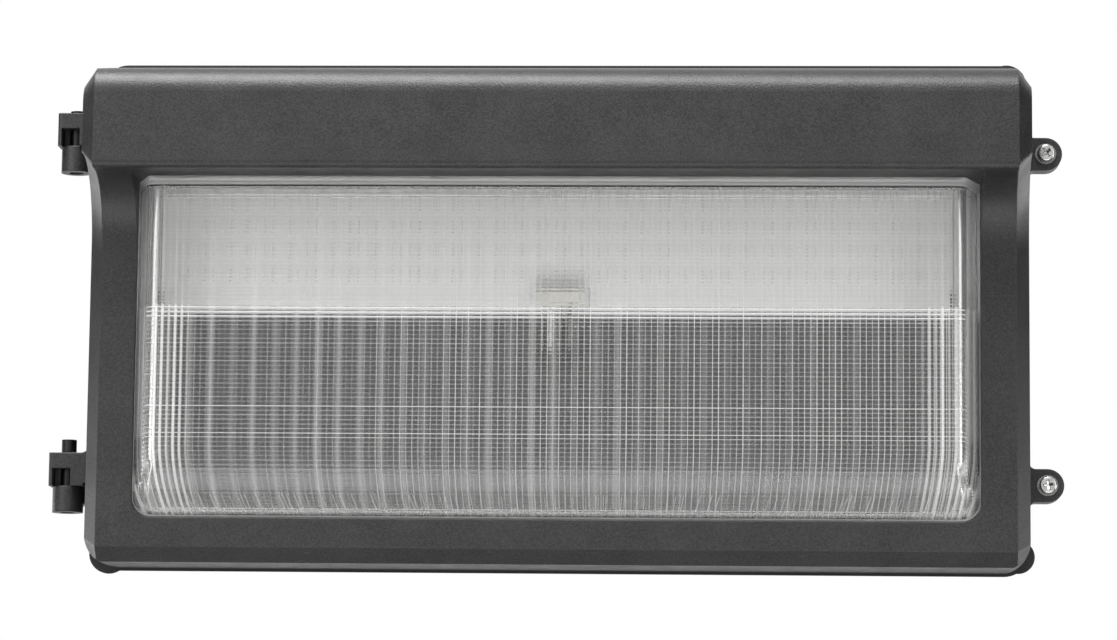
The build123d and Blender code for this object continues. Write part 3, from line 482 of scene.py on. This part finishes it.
def placing_tree():
    """Copy a package to every point of an upright grid, and give the gel its material."""
    tree, given, result = new_tree("place_packages", {
        "Columns": "Int", "Rows": "Int", "Width": "Float", "Height": "Float",
        "Middle": "Vector", "Package": "Object",
    })
    grid = add(tree, "GeometryNodeMeshGrid", {
        "Size X": given["Width"], "Size Y": given["Height"],
        "Vertices X": given["Columns"], "Vertices Y": given["Rows"],
    })
    upright = add(tree, "GeometryNodeTransform", {
        "Geometry": grid, "Rotation": (math.radians(90), 0, 0), "Translation": given["Middle"],
    })
    package = add(tree, "GeometryNodeObjectInfo", {"Object": given["Package"]})
    placed = add(tree, "GeometryNodeInstanceOnPoints", {
        "Points": upright, "Instance": package.outputs["Geometry"],
    })
    real = add(tree, "GeometryNodeRealizeInstances", [placed])
    index = add(tree, "GeometryNodeInputMaterialIndex")
    is_gel = add(tree, "FunctionNodeCompare", {"A": index, "B": 1},
                 data_type="INT", operation="EQUAL")
    finished = add(tree, "GeometryNodeSetMaterial", {
        "Geometry": real, "Selection": is_gel, "Material": gel,
    })
    tree.links.new(finished.outputs["Geometry"], result.inputs["Geometry"])
    return tree


scene.collection.objects.link(one_package)
chip_low, chip_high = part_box("led_chips")
packages = bpy.data.objects.new("led_packages", bpy.data.meshes.new("empty"))
scene.collection.objects.link(packages)
span = chip_high - chip_low
middle = (chip_low + chip_high) / 2
packages.data = run_tree(packages, placing_tree(), {
    "Columns": package_columns,
    "Rows": package_rows,
    "Width": span.x - package_size,
    "Height": span.z - package_size,
    "Middle": (middle.x, chip_high.y, middle.z),
    "Package": one_package,
})
bpy.data.objects.remove(one_package)
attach(packages, "housing")
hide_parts("led_chips")
print("package faces:", len(packages.data.polygons), [m.name for m in packages.data.materials])

# %% [markdown]
# ## Pressed glass refractor
# The lens is pressed borosilicate glass. Its outside carries fine horizontal prisms and its inside
# fine vertical flutes, so the LEDs are smeared both ways into an even light. Painting those lines
# on a flat pane would look flat from every side but one, so both skins are built as grids that
# follow the bulge, and Geometry Nodes pushes their points in and out by the rule of the mould:
# a round rib every few millimetres.

# %% Shape of the bulge
refractor_low, refractor_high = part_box("glass_refractor")
flange_front = refractor_high.y - 5.0 * MM
flange_corner = 8.7 * MM
bulge_half = 188.6 * MM
bulge_low = -95.2 * MM
bulge_high = 55.6 * MM
bulge_front = refractor_low.y
bulge_depth = 22.0 * MM
frame_face = bulge_front + bulge_depth
flank_step = bulge_depth * math.tan(math.radians(20))
side_corner = 6.0 * MM
low_radius = 26.5 * MM
top_radius = 2.0 * MM
glass_wall = 4.5 * MM


def arc(centre, radius, start_deg, end_deg, steps):
    """Points (a, b) on an arc, both ends included."""
    points = []
    for index in range(steps + 1):
        angle = math.radians(start_deg + (end_deg - start_deg) * index / steps)
        points.append((centre[0] + radius * math.cos(angle), centre[1] + radius * math.sin(angle)))
    return points


def split_run(start, end, steps):
    """Points between two ends, without the first."""
    return [
        (start[0] + (end[0] - start[0]) * k / steps, start[1] + (end[1] - start[1]) * k / steps)
        for k in range(1, steps + 1)
    ]


def across_profile(inset, back, steps):
    """Half of the plan section, from the back edge on the right to the middle: (x, y)."""
    half = bulge_half - inset
    front = bulge_front + inset
    slope = math.degrees(math.atan2(bulge_depth, flank_step))
    corner_x = half - flank_step * (frame_face - front) / bulge_depth
    reach = side_corner * math.tan(math.radians(slope) / 2)
    centre = (corner_x - reach, front + side_corner)
    points = [(half, back), (half, frame_face)]
    points += arc(centre, side_corner, -90 + slope, -90, 6)
    points += split_run(points[-1], (0.0, front), steps)
    return points


def down_profile(inset, back, steps, curve_steps):
    """Side section from the top edge to the bottom edge: (z, y)."""
    low = bulge_low + inset
    high = bulge_high - inset
    front = bulge_front + inset
    radius = low_radius - inset
    top = (front + top_radius, high - top_radius)
    bottom = (front + radius, low + radius)
    points = [(high, back)]
    points += [(z, y) for y, z in arc(top, top_radius, 90, 180, 4)]
    points += split_run(points[-1], (low + radius, front), steps)
    points += [(z, y) for y, z in arc(bottom, radius, 180, 270, curve_steps)][1:]
    points.append((low, back))
    return points


def skin(bm, inset, back, across_steps, down_steps, curve_steps):
    """Grid over the bulge, by row. Each row carries its distance down the profile, along."""
    half_points = across_profile(inset, back, across_steps)
    columns = [(-x, y) for x, y in half_points] + list(reversed(half_points[:-1]))
    rows = down_profile(inset, back, down_steps, curve_steps)
    along = bm.verts.layers.float.get("along") or bm.verts.layers.float.new("along")
    low = bulge_low + inset
    corner = flange_corner - min(inset, 3.0 * MM)
    half = bulge_half - inset
    grid = []
    travelled = 0.0
    for index, (z, side_y) in enumerate(rows):
        if index:
            travelled += math.dist(rows[index - 1], rows[index])
        drop = max(low + corner - z, 0.0)
        pull = corner - math.sqrt(max(corner ** 2 - drop ** 2, 0.0))
        line = []
        for x, plan_y in columns:
            shift = pull * (abs(x) / half) ** 8
            vertex = bm.verts.new((x - math.copysign(shift, x), max(plan_y, side_y), z))
            vertex[along] = travelled
            line.append(vertex)
        grid.append(line)
    for row, following in zip(grid, grid[1:]):
        for k in range(len(row) - 1):
            bm.faces.new((row[k], row[k + 1], following[k + 1], following[k]))
    return grid


print("bulge", round(bulge_half * 2000), "mm wide, front at", round(bulge_front * 1000, 1))

# %% Both skins and the flange
SAME_PLACE = 0.0001 * MM
merge_reach = 0.02 * MM  # points of one skin that lie closer than this become one
prism_pitch = 2.0 * MM
flute_pitch = 2.7 * MM
steps_per_prism = 8
steps_per_flute = 6


def refractor_base():
    """Closed glass body without ribs. The attribute side is 1 outside and -1 inside."""
    bm = bmesh.new()
    side = bm.verts.layers.float.new("side")
    back = refractor_high.y
    prism_steps = round((bulge_high - bulge_low) / prism_pitch * steps_per_prism)
    flute_steps = round(bulge_half / flute_pitch * steps_per_flute)
    # steps across half the width, down the front and round the low curve
    outer_steps = (3, prism_steps, 170)
    inner_steps = (flute_steps, 20, 26)
    for inset, rim, steps, which in (
        (0.0, flange_front, outer_steps, 1.0),
        (glass_wall, back, inner_steps, -1.0),
    ):
        for row in skin(bm, inset, rim, *steps):
            for vertex in row:
                vertex[side] = which
    bmesh.ops.remove_doubles(bm, verts=bm.verts, dist=merge_reach)

    def outline(y):
        """Rounded rectangle of the flange, at y."""
        right_x, high = refractor_high.x - flange_corner, refractor_high.z - flange_corner
        left_x, low = refractor_low.x + flange_corner, refractor_low.z + flange_corner
        points = []
        corners = ((right_x, high), (left_x, high), (left_x, low), (right_x, low))
        for turn, corner in enumerate(corners):
            points += arc(corner, flange_corner, 90 * turn, 90 * turn + 90, 8)
        return [bm.verts.new((x, y, z)) for x, z in points]

    front_loop = outline(flange_front)
    back_loop = outline(back)
    count = len(front_loop)
    rings = []
    for loop in (front_loop, back_loop):
        rings.append([bm.edges.new((loop[k], loop[(k + 1) % count])) for k in range(count)])
    for k in range(count):
        following = (k + 1) % count
        bm.faces.new((front_loop[k], front_loop[following], back_loop[following], back_loop[k]))
    for ring, level in zip(rings, (flange_front, back)):
        rim = [
            edge for edge in bm.edges
            if edge.is_boundary and all(abs(v.co.y - level) < SAME_PLACE for v in edge.verts)
        ]
        rim = list(set(rim) | set(ring))
        bmesh.ops.triangle_fill(bm, use_beauty=True, use_dissolve=False, edges=rim)
    bmesh.ops.dissolve_degenerate(bm, dist=SAME_PLACE, edges=bm.edges)
    bmesh.ops.recalc_face_normals(bm, faces=bm.faces)
    open_edges = sum(1 for e in bm.edges if not e.is_manifold)
    mesh = bpy.data.meshes.new("refractor_base")
    bm.to_mesh(mesh)
    bm.free()
    return mesh, open_edges


base_mesh, open_edges = refractor_base()
print("base faces:", len(base_mesh.polygons), "open edges:", open_edges)

# %% [markdown]
# ## Glass
# Clear pressed glass reads as a grid of pale lines over whatever is behind it, because its ribs
# catch and bend the light. Here those glints and reflections are painted: a share of each line is
# plain white instead of clear, a painted highlight. Those lines follow the ribs, so the material
# works them out from the same measures: the distance down the outside for the level prisms, and the
# place across for the upright flutes on the inside. Every line gets a random strength of its own.
# The flanks, the lip, the top edge and the rolled bottom edge also get a white share, as painted
# highlights and painted reflections of the white surroundings. The pattern is a list of layers, and
# each layer is a few factors that multiply: lines, how strong they are, and where they show. The
# strongest layer wins.

# %% Lines that follow the ribs
bend_start = -62.0 * MM
bend_rate = 26.0
package_pitch = 9.5 * MM  # the columns of LEDs shimmer through the flutes
# pitch, width and seed of each set of painted pale lines
prism_lines = (prism_pitch, 0.34 * MM, 7.0)
slanting_lines = (1.7 * MM, 0.75 * MM, 57.0)
flute_lines = (flute_pitch, 0.42 * MM, 31.0)
flute_bands = (package_pitch, 2.2 * MM, 3.0)
side_streaks = (2.9 * MM, 0.95 * MM, 11.0)


def flute_place(tree, x, z):
    """Place across the flutes: x, spread a little below bend_start so that the lines curve in."""
    drop = add(tree, "ShaderNodeMath", [bend_start, z], operation="SUBTRACT")
    below = add(tree, "ShaderNodeMath", [drop, 0.0], operation="MAXIMUM")
    square = add(tree, "ShaderNodeMath", [below, below], operation="MULTIPLY")
    spread = add(tree, "ShaderNodeMath", [square, bend_rate, 1.0], operation="MULTIPLY_ADD")
    return add(tree, "ShaderNodeMath", [x, spread], operation="MULTIPLY")


def line_mask(tree, place, pitch, width, seed):
    """Thin lines at every whole pitch, and a random number for each line."""
    turns = add(tree, "ShaderNodeMath", [place, pitch], operation="DIVIDE")
    nearest = add(tree, "ShaderNodeMath", [turns], operation="ROUND")
    off = add(tree, "ShaderNodeMath", [turns, nearest], operation="SUBTRACT")
    away = add(tree, "ShaderNodeMath", [off], operation="ABSOLUTE")
    lines = add(tree, "ShaderNodeMapRange", [away, 0.0, width / pitch, 1.0, 0.0])
    shifted = add(tree, "ShaderNodeMath", [nearest, seed], operation="ADD")
    chance = add(tree, "ShaderNodeTexWhiteNoise", {"W": shifted}, noise_dimensions="1D")
    return lines, chance


print("flutes bend below", round(bend_start / MM), "mm")

# %% Layers of painted glints on the glass
heavy_lines = (-47.4 * MM, -60.7 * MM)


def strongest(tree, layers):
    """Multiply the factors of each layer and take the largest product. A factor that is a tuple is
    a run: value, where it starts and ends, and what it is there, 0 and 1 if not given."""
    total = 0.0
    for first, *others in layers:
        product = first
        for factor in others:
            if isinstance(factor, tuple):
                factor = add(tree, "ShaderNodeMapRange", factor)
            product = add(tree, "ShaderNodeMath", [product, factor], operation="MULTIPLY")
        total = add(tree, "ShaderNodeMath", [total, product], operation="MAXIMUM")
    return total


def outside_layers(tree, x, y, z, side, below_board):
    """Painted glints: level lines, a shimmer where the flutes run out, and pale flanks, lip and top
    edge.
    """
    along = add(tree, "ShaderNodeAttribute", attribute_name="along").outputs["Fac"]
    outside = add(tree, "ShaderNodeMapRange", [side, 0.4, 0.6])
    dimmed = add(tree, "ShaderNodeMapRange", [below_board, 0.0, 1.0, 0.25, 1.0])
    ahead = add(tree, "ShaderNodeMapRange",
                [y, bulge_front + 1.5 * MM, bulge_front + 3.0 * MM, 1.0, 0.0])
    rolled = add(tree, "ShaderNodeMapRange", [z, -60 * MM, -66 * MM])
    face = add(tree, "ShaderNodeMath", [ahead, rolled], operation="MAXIMUM")
    lines, chance = line_mask(tree, along, *prism_lines)
    prisms = strongest(tree, [[outside, lines, face, dimmed]])
    layers = [
        [prisms, (chance, 0.0, 1.0, 0.13, 0.26)],
        # the first three painted lines under the board are the clearest
        [prisms, below_board, (z, -9.5 * MM, -8.5 * MM, 0.0, 0.75)],
    ]
    for level in heavy_lines:
        layers.append([
            prisms,
            (z, level - 1.2 * MM, level - 1.0 * MM, 0.0, 0.5),
            (z, level + 1.2 * MM, level + 1.0 * MM),
        ])
    # the rolled bottom as a whole, then the slanting shimmer in it, both painted highlights
    layers.append([outside, face, (z, -66 * MM, -84 * MM, 0.0, 0.07)])
    side_lean = add(tree, "ShaderNodeMapRange", [x, -60 * MM, 60 * MM, 0.35, -0.35])
    leaning = add(tree, "ShaderNodeMath", [z, side_lean, x], operation="MULTIPLY_ADD")
    slants, chance = line_mask(tree, leaning, *slanting_lines)
    layers.append([
        outside, face, slants, (chance, 0.0, 1.0, 0.05, 0.32),
        (z, -83 * MM, -87 * MM), (z, -92.6 * MM, -92.0 * MM),
    ])
    # painted highlights on the flanks, the lip and the top edge
    layers += [
        [outside, (y, bulge_front + 2.5 * MM, bulge_front + 5 * MM, 0.0, 0.16),
         (z, -60 * MM, -64 * MM, 1.0, 0.0)],
        [outside, (y, frame_face - 1.6 * MM, frame_face - 0.4 * MM, 0.0, 0.42)],
        [outside, (z, bulge_high - 4.6 * MM, bulge_high - 4.2 * MM, 0.0, 0.30)],
    ]
    return layers


def inside_layers(tree, x, z, side, below_board):
    """Painted upright glints: crisp lines at the right, softer bands at the left, streaks at both
    sides.
    """
    inside = add(tree, "ShaderNodeMapRange", [side, -0.4, -0.6])
    dimmed = add(tree, "ShaderNodeMapRange", [below_board, 0.0, 1.0, 0.30, 1.0])
    shown = strongest(tree, [[inside, dimmed]])
    across = flute_place(tree, x, z)
    from_middle = add(tree, "ShaderNodeMath", [across], operation="ABSOLUTE")
    crisp, crisp_chance = line_mask(tree, across, *flute_lines)
    bands, band_chance = line_mask(tree, across, *flute_bands)
    streaks, streak_chance = line_mask(tree, across, *side_streaks)
    return [
        [shown, crisp, (crisp_chance, 0.0, 1.0, 0.18, 0.45), (x, -120 * MM, -10 * MM, 0.45, 1.0)],
        [shown, bands, (band_chance, 0.0, 1.0, 0.10, 0.25), (x, -20 * MM, 70 * MM, 1.0, 0.35)],
        [shown, streaks, (streak_chance, 0.0, 1.0, 0.30, 0.95), (from_middle, 160 * MM, 166 * MM)],
    ]


# %% Glass
light_passed = 0.985


def pressed_glass():
    """Pressed glass: the eye sees through it, past a net of pale lines that follow its ribs; the
    lines are painted highlights and reflections.
    """
    material, tree, shader, place = start_material(
        "pressed_borosilicate_glass", IOR=1.47, Base_Color=linear("#F4F4F3")
    )
    x, y, z = add(tree, "ShaderNodeSeparateXYZ", [place]).outputs
    side = add(tree, "ShaderNodeAttribute", attribute_name="side").outputs["Fac"]
    below_board = add(tree, "ShaderNodeMapRange", [z, -1.5 * MM, -3.0 * MM])
    layers = outside_layers(tree, x, y, z, side, below_board)
    layers += inside_layers(tree, x, z, side, below_board)
    # the white share of every place, the strongest layer: painted highlights and painted
    # reflections
    painted_glint_share = strongest(tree, layers)
    clear_share = add(tree, "ShaderNodeMapRange", [painted_glint_share, 0.0, 1.0, 1.0, 0.0])
    rough = add(tree, "ShaderNodeMapRange", [painted_glint_share, 0.0, 0.3, 0.02, 0.35])
    waves = add(tree, "ShaderNodeBump", {
        "Height": grain(tree, place, 6.0), "Distance": 0.02 * MM, "Strength": 0.15,
    })
    tree.links.new(clear_share.outputs["Result"], shader.inputs["Transmission Weight"])
    tree.links.new(rough.outputs["Result"], shader.inputs["Roughness"])
    tree.links.new(waves.outputs["Normal"], shader.inputs["Normal"])
    # light passes straight through, as if the many small ribs had mixed it again
    path = add(tree, "ShaderNodeLightPath")
    soft = add(tree, "ShaderNodeMath", [
        path.outputs["Is Shadow Ray"], path.outputs["Is Diffuse Ray"],
    ], operation="MAXIMUM")
    clear = add(tree, "ShaderNodeBsdfTransparent", [(light_passed, light_passed, light_passed, 1)])
    mix = add(tree, "ShaderNodeMixShader", [soft, shader, clear])
    tree.links.new(mix.outputs[0], tree.nodes["Material Output"].inputs["Surface"])
    return material


glass = pressed_glass()
print("glass nodes:", len(glass.node_tree.nodes))

# %% Press the ribs with Geometry Nodes
prism_depth = 0.08 * MM
flute_depth = 0.12 * MM
flutes_each_side = 64


def rib_height(tree, along, pitch, depth):
    """Round ribs: 4 f (1 - f) of the fraction f along each pitch, times the depth."""
    turns = add(tree, "ShaderNodeMath", [along, pitch], operation="DIVIDE")
    part = add(tree, "ShaderNodeMath", [turns], operation="FRACT")
    rest = add(tree, "ShaderNodeMath", [1.0, part], operation="SUBTRACT")
    bow = add(tree, "ShaderNodeMath", [part, rest], operation="MULTIPLY")
    scaled = add(tree, "ShaderNodeMath", [bow, 4.0], operation="MULTIPLY")
    return add(tree, "ShaderNodeMath", [scaled, depth], operation="MULTIPLY")


def rib_tree():
    """Push the outer skin in by prisms and the inner skin out by flutes, in the front field."""
    tree, sizes, result = new_tree("press_ribs", {
        "Prism pitch": "Float", "Prism depth": "Float", "Flute pitch": "Float",
        "Flute depth": "Float", "Flute limit": "Float", "Front limit": "Float",
        "Glass": "Material",
    })
    side = add(tree, "GeometryNodeInputNamedAttribute", {"Name": "side"}, data_type="FLOAT")
    along = add(tree, "GeometryNodeInputNamedAttribute", {"Name": "along"}, data_type="FLOAT")
    place = add(tree, "GeometryNodeInputPosition")
    axes = add(tree, "ShaderNodeSeparateXYZ", [place])
    across = flute_place(tree, axes.outputs["X"], axes.outputs["Z"])
    prisms = rib_height(tree, along, sizes["Prism pitch"], sizes["Prism depth"])
    flutes = rib_height(tree, across, sizes["Flute pitch"], sizes["Flute depth"])
    is_outer = add(tree, "FunctionNodeCompare", {"A": side, "B": 0.5}, operation="GREATER_THAN")
    is_inner = add(tree, "FunctionNodeCompare", {"A": side, "B": -0.5}, operation="LESS_THAN")
    ahead = add(tree, "FunctionNodeCompare", {
        "A": axes.outputs["Y"], "B": sizes["Front limit"],
    }, operation="LESS_THAN")
    from_middle = add(tree, "ShaderNodeMath", [axes.outputs["X"]], operation="ABSOLUTE")
    in_field = add(tree, "FunctionNodeCompare", {
        "A": from_middle, "B": sizes["Flute limit"],
    }, operation="LESS_THAN")
    is_inner = add(tree, "FunctionNodeBooleanMath", [is_inner, in_field], operation="AND")
    normal = add(tree, "GeometryNodeInputNormal")
    shape = sizes["Geometry"]
    for chosen, height, sign in ((is_outer, prisms, -1.0), (is_inner, flutes, 1.0)):
        both = add(tree, "FunctionNodeBooleanMath", [chosen, ahead], operation="AND")
        signed = add(tree, "ShaderNodeMath", [height, sign], operation="MULTIPLY")
        push = add(tree, "ShaderNodeVectorMath", {0: normal, "Scale": signed}, operation="SCALE")
        shape = add(tree, "GeometryNodeSetPosition", {
            "Geometry": shape, "Selection": both, "Offset": push,
        })
    real = add(tree, "GeometryNodeRealizeInstances", [shape])
    coated = add(tree, "GeometryNodeSetMaterial", {"Geometry": real, "Material": sizes["Glass"]})
    tree.links.new(coated.outputs["Geometry"], result.inputs["Geometry"])
    return tree


refractor = bpy.data.objects.new("refractor", base_mesh)
scene.collection.objects.link(refractor)
refractor.data = run_tree(refractor, rib_tree(), {
    "Prism pitch": prism_pitch,
    "Prism depth": prism_depth,
    "Flute pitch": flute_pitch,
    "Flute depth": flute_depth,
    "Flute limit": flutes_each_side * flute_pitch,
    "Front limit": frame_face - 1.0 * MM,
    "Glass": glass,
})
refractor.data.shade_smooth()
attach(refractor, "door")
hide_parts("glass_refractor")
print("refractor faces:", len(refractor.data.polygons), [m.name for m in refractor.data.materials])

# %% [markdown]
# ## Ear screws
# Two long stainless screws close the door. Each has a pan head with a cross recess, pressed cold,
# and a rolled metric thread. A recess could be cut with a boolean, but a head that is a round grid
# of points is simpler: each point is pushed in by a depth that depends on how far it is from the
# arms of the cross, which also gives the recess its tapered walls. The thread is a spiral curve
# with a three-cornered section, wound by Geometry Nodes, because it repeats along the shank.

# %% Head and shank of a screw
screw_head_radius = 3.8 * MM
screw_head_height = 3.0 * MM
screw_core_radius = 1.7 * MM
dome_height = 0.25 * MM
dome_rings = 18
ring_step = 0.17 * MM
rim_radius = 0.75 * MM
screw_sides = 72
thread_pitch = 0.7 * MM
thread_crest = 0.28 * MM


def recess_depth(x, z, angle):
    """Depth of the cross recess at a place on the head, in metres."""
    u = abs(x * math.cos(angle) + z * math.sin(angle)) / MM
    v = abs(z * math.cos(angle) - x * math.sin(angle)) / MM
    narrow, wide = min(u, v), max(u, v)
    # in mm: arms 1.3 wide with leaning walls, a round core, and a floor that rises to the arm ends
    arm = min(max((0.66 - narrow) / 0.18, 0.0), 1.0)
    core = min(max((1.05 - math.hypot(u, v)) / 0.22, 0.0), 1.0)
    reach = min(max((2.30 - wide) / 0.30, 0.0), 1.0)
    floor_depth = 0.7 + 1.1 * min(max((2.2 - wide) / 1.8, 0.0), 1.0)
    return max(arm, core) * reach * floor_depth * MM


def screw_mesh(centre, front, tip, angle):
    """Closed head and shank around an axis along Y; front is the face of the head."""
    bm = bmesh.new()
    seat = front + screw_head_height
    sides = screw_sides
    rings = [
        (ring_step * k, front + dome_height * (k / dome_rings) ** 2)
        for k in range(1, dome_rings + 1)
    ]
    centre_of_rim = (screw_head_radius - rim_radius, front + dome_height + rim_radius)
    rings += arc(centre_of_rim, rim_radius, 285, 360, 5)
    rings += [(screw_head_radius, seat - 0.2 * MM), (screw_head_radius - 0.2 * MM, seat)]
    rings += [(screw_core_radius, seat), (screw_core_radius, tip - 0.8 * MM), (1.1 * MM, tip)]
    loops = []
    for radius, y in rings:
        loop = []
        for index in range(sides):
            turn_angle = 2 * math.pi * index / sides
            x, z = radius * math.cos(turn_angle), radius * math.sin(turn_angle)
            depth = recess_depth(x, z, angle) if y < front + 2 * dome_height else 0.0
            loop.append(bm.verts.new((centre.x + x, y + depth, centre.z + z)))
        loops.append(loop)
    middle = bm.verts.new((centre.x, front + recess_depth(0, 0, angle), centre.z))
    for index in range(sides):
        bm.faces.new((middle, loops[0][index], loops[0][(index + 1) % sides]))
    for inner, outer in zip(loops, loops[1:]):
        for index in range(sides):
            following = (index + 1) % sides
            bm.faces.new((inner[index], outer[index], outer[following], inner[following]))
    bm.faces.new(loops[-1])
    bmesh.ops.recalc_face_normals(bm, faces=bm.faces)
    mesh = bpy.data.meshes.new("ear_screw")
    bm.to_mesh(mesh)
    bm.free()
    return mesh


# %% Thread with Geometry Nodes
def thread_tree():
    """Wind a three-cornered ridge around the shank and join it to the screw."""
    tree, given, result = new_tree("wind_thread", {
        "Turns": "Float", "Height": "Float", "Radius": "Float", "Crest": "Float",
        "Start": "Vector", "Metal": "Material",
    })
    spiral = add(tree, "GeometryNodeCurveSpiral", {
        "Resolution": 24, "Rotations": given["Turns"], "Height": given["Height"],
        "Start Radius": given["Radius"], "End Radius": given["Radius"],
    })
    section = add(tree, "GeometryNodeCurvePrimitiveCircle", {
        "Resolution": 3, "Radius": given["Crest"],
    })
    wound = add(tree, "GeometryNodeCurveToMesh", {
        "Curve": spiral, "Profile Curve": section, "Fill Caps": True,
    })
    placed = add(tree, "GeometryNodeTransform", {
        "Geometry": wound, "Rotation": (math.radians(-90), 0, 0), "Translation": given["Start"],
    })
    joined = add(tree, "GeometryNodeJoinGeometry", [given["Geometry"]])
    tree.links.new(placed.outputs["Geometry"], joined.inputs[0])
    real = add(tree, "GeometryNodeRealizeInstances", [joined])
    finished = add(tree, "GeometryNodeSetMaterial", {"Geometry": real, "Material": given["Metal"]})
    tree.links.new(finished.outputs["Geometry"], result.inputs["Geometry"])
    return tree


thread = thread_tree()
for where, recess_angle in (("upper", 38), ("lower", 8)):
    screw_low, screw_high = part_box("ear_screw_" + where)
    centre = (screw_low + screw_high) / 2
    thread_length = screw_high.y - screw_low.y - screw_head_height - 3.0 * MM
    mesh = screw_mesh(centre, screw_low.y, screw_high.y, math.radians(recess_angle))
    screw = bpy.data.objects.new("phillips_screw_" + where, mesh)
    scene.collection.objects.link(screw)
    screw.data = run_tree(screw, thread, {
        "Turns": thread_length / thread_pitch,
        "Height": thread_length,
        "Radius": screw_core_radius,
        "Crest": thread_crest,
        "Start": (centre.x, screw_low.y + screw_head_height + 1.5 * MM, centre.z),
        "Metal": stainless,
    })
    screw.data.shade_smooth()
    screw.data.set_sharp_from_angle(angle=math.radians(35))
    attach(screw, "screw_" + where)
    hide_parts("ear_screw_" + where)
    print(screw.name, "faces:", len(screw.data.polygons))

# %% [markdown]
# ## Floor, white surroundings and lights
# The photograph is a catalogue picture on pure white. The world is white only for the rays that
# the camera, glossy surfaces and glass send out, and a dim grey for the light it gives, so the
# white doesn't wash out the dark paint. Area lamps stand where a studio would hang its soft boxes:
# above for the bright line along the hood, left and right in front for the glass, and a wide one
# low in front, which does what a table top near the object would do. Two small kickers behind the
# sides draw the thin light edges of the frame. Two black cards, which only reflections show, keep
# the side bevels of the hood dark, as they are in the photograph. The floor lies well below the
# wall light, because that hangs on a wall, so views from a little below aren't blocked.

# %% Floor and world
floor_height = cad_low.z - 1450 * MM
floor_reach = 4.0
WHITE = (1, 1, 1, 1)


def pale_floor():
    """Pale flat paint: the eye sees an even light grey with the faintest clouds."""
    material, tree, shader, place = start_material("pale_painted_floor", Roughness=0.7)
    finish(tree, shader, grain(tree, place, 300), "#ECECEB", "#F0F0EF")
    path = add(tree, "ShaderNodeLightPath")
    white = add(tree, "ShaderNodeEmission", [WHITE, 1.0])
    share = add(tree, "ShaderNodeMath", [path.outputs["Is Camera Ray"], 0.7], operation="MULTIPLY")
    upper = add(tree, "ShaderNodeMixShader", [share, shader, white])
    # the underside is clear, so that a camera below the floor still sees the luminaire
    clear = add(tree, "ShaderNodeBsdfTransparent")
    seen_side = add(tree, "ShaderNodeNewGeometry")
    one_sided = add(tree, "ShaderNodeMixShader", [seen_side.outputs["Backfacing"], upper, clear])
    tree.links.new(one_sided.outputs[0], tree.nodes["Material Output"].inputs["Surface"])
    return material


def flat_sheet(name, corners, material):
    """One face through the given corners, as part of the studio and not of the object."""
    mesh = bpy.data.meshes.new(name)
    mesh.from_pydata(corners, [], [tuple(range(len(corners)))])
    mesh.materials.append(material)
    obj = bpy.data.objects.new(name, mesh)
    scene.collection.objects.link(obj)
    obj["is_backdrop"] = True
    return obj


flat_sheet("studio_floor", [
    (x * floor_reach, y * floor_reach, floor_height)
    for x, y in ((-1, -1), (1, -1), (1, 1), (-1, 1))
], pale_floor())

world = bpy.data.worlds.new("white_studio")
world.use_nodes = True
scene.world = world
tree = world.node_tree
shown = tree.nodes["Background"]
shown.inputs["Color"].default_value = WHITE
shown.inputs["Strength"].default_value = 1.0
given_light = add(tree, "ShaderNodeBackground", [WHITE, 0.05])
path = add(tree, "ShaderNodeLightPath")
seen = path.outputs["Is Camera Ray"]
for ray in ("Is Glossy Ray", "Is Transmission Ray"):
    seen = add(tree, "ShaderNodeMath", [seen, path.outputs[ray]], operation="MAXIMUM")
blend = add(tree, "ShaderNodeMixShader", [seen, given_light, shown])
tree.links.new(blend.outputs[0], tree.nodes["World Output"].inputs["Surface"])
print("floor at", round(floor_height, 3), "m")


# %% Lamps and black cards
def soft_box(name, place, aim_at, width, height, power):
    """Rectangular area lamp that faces a point."""
    lamp = bpy.data.lights.new(name, "AREA")
    lamp.shape = "RECTANGLE"
    lamp.size = width
    lamp.size_y = height
    lamp.energy = power
    obj = bpy.data.objects.new(name, lamp)
    obj.location = place
    obj.rotation_euler = (Vector(aim_at) - Vector(place)).to_track_quat("-Z", "Y").to_euler()
    scene.collection.objects.link(obj)


# name, place, the point it faces, width and height in metres, power in watts
for lamp in (
    ("soft_box_above", (-0.30, -0.60, 1.2), (0, -0.17, 0), 1.5, 0.7, 48),
    ("soft_box_left", (-1.3, -1.5, 0.5), (0, -0.1, 0), 0.9, 1.2, 9.5),
    ("soft_box_right", (1.5, -1.2, 0.3), (0, -0.1, 0), 0.7, 1.2, 6),
    ("soft_box_low", (0.0, -0.80, -0.75), (0, -0.13, 0), 1.8, 0.8, 9.5),
    ("kicker_left", (-1.0, 0.35, -0.2), (0, -0.1, 0), 0.5, 0.4, 2.5),
    ("kicker_right", (1.0, 0.35, -0.2), (0, -0.1, 0), 0.5, 0.4, 2.2),
):
    soft_box(*lamp)


def black_flag(name, side_sign):
    """Upright black card beside the object, which only reflections show."""
    near_x, near_y = side_sign * 1.15, 0.75
    far_x, far_y = side_sign * 1.45, -0.35
    low_z, high_z = -0.05, 0.75
    # black card: a dull dark shape in the paint's gloss, and nothing else
    material, tree, shader, place = start_material("black_card", Roughness=0.9)
    finish(tree, shader, grain(tree, place, 40), "#050505", "#0A0A0A", span=(0.0, 1.0))
    card = flat_sheet(name, [
        (near_x, near_y, low_z), (far_x, far_y, low_z),
        (far_x, far_y, high_z), (near_x, near_y, high_z),
    ], material)
    card.visible_camera = False
    card.visible_diffuse = False
    card.visible_transmission = False
    card.visible_shadow = False


black_flag("black_flag_left", -1)
black_flag("black_flag_right", 1)

# %% [markdown]
# ## Sizes
# The whole object's box is measured before and after the dressing. They must agree, because looks
# never change a size.

# %% Sizes and finish
low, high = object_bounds()
for name, size in (("cad", cad_high - cad_low), ("visual", high - low)):
    print(name, [round(v / MM, 1) for v in size], "mm")
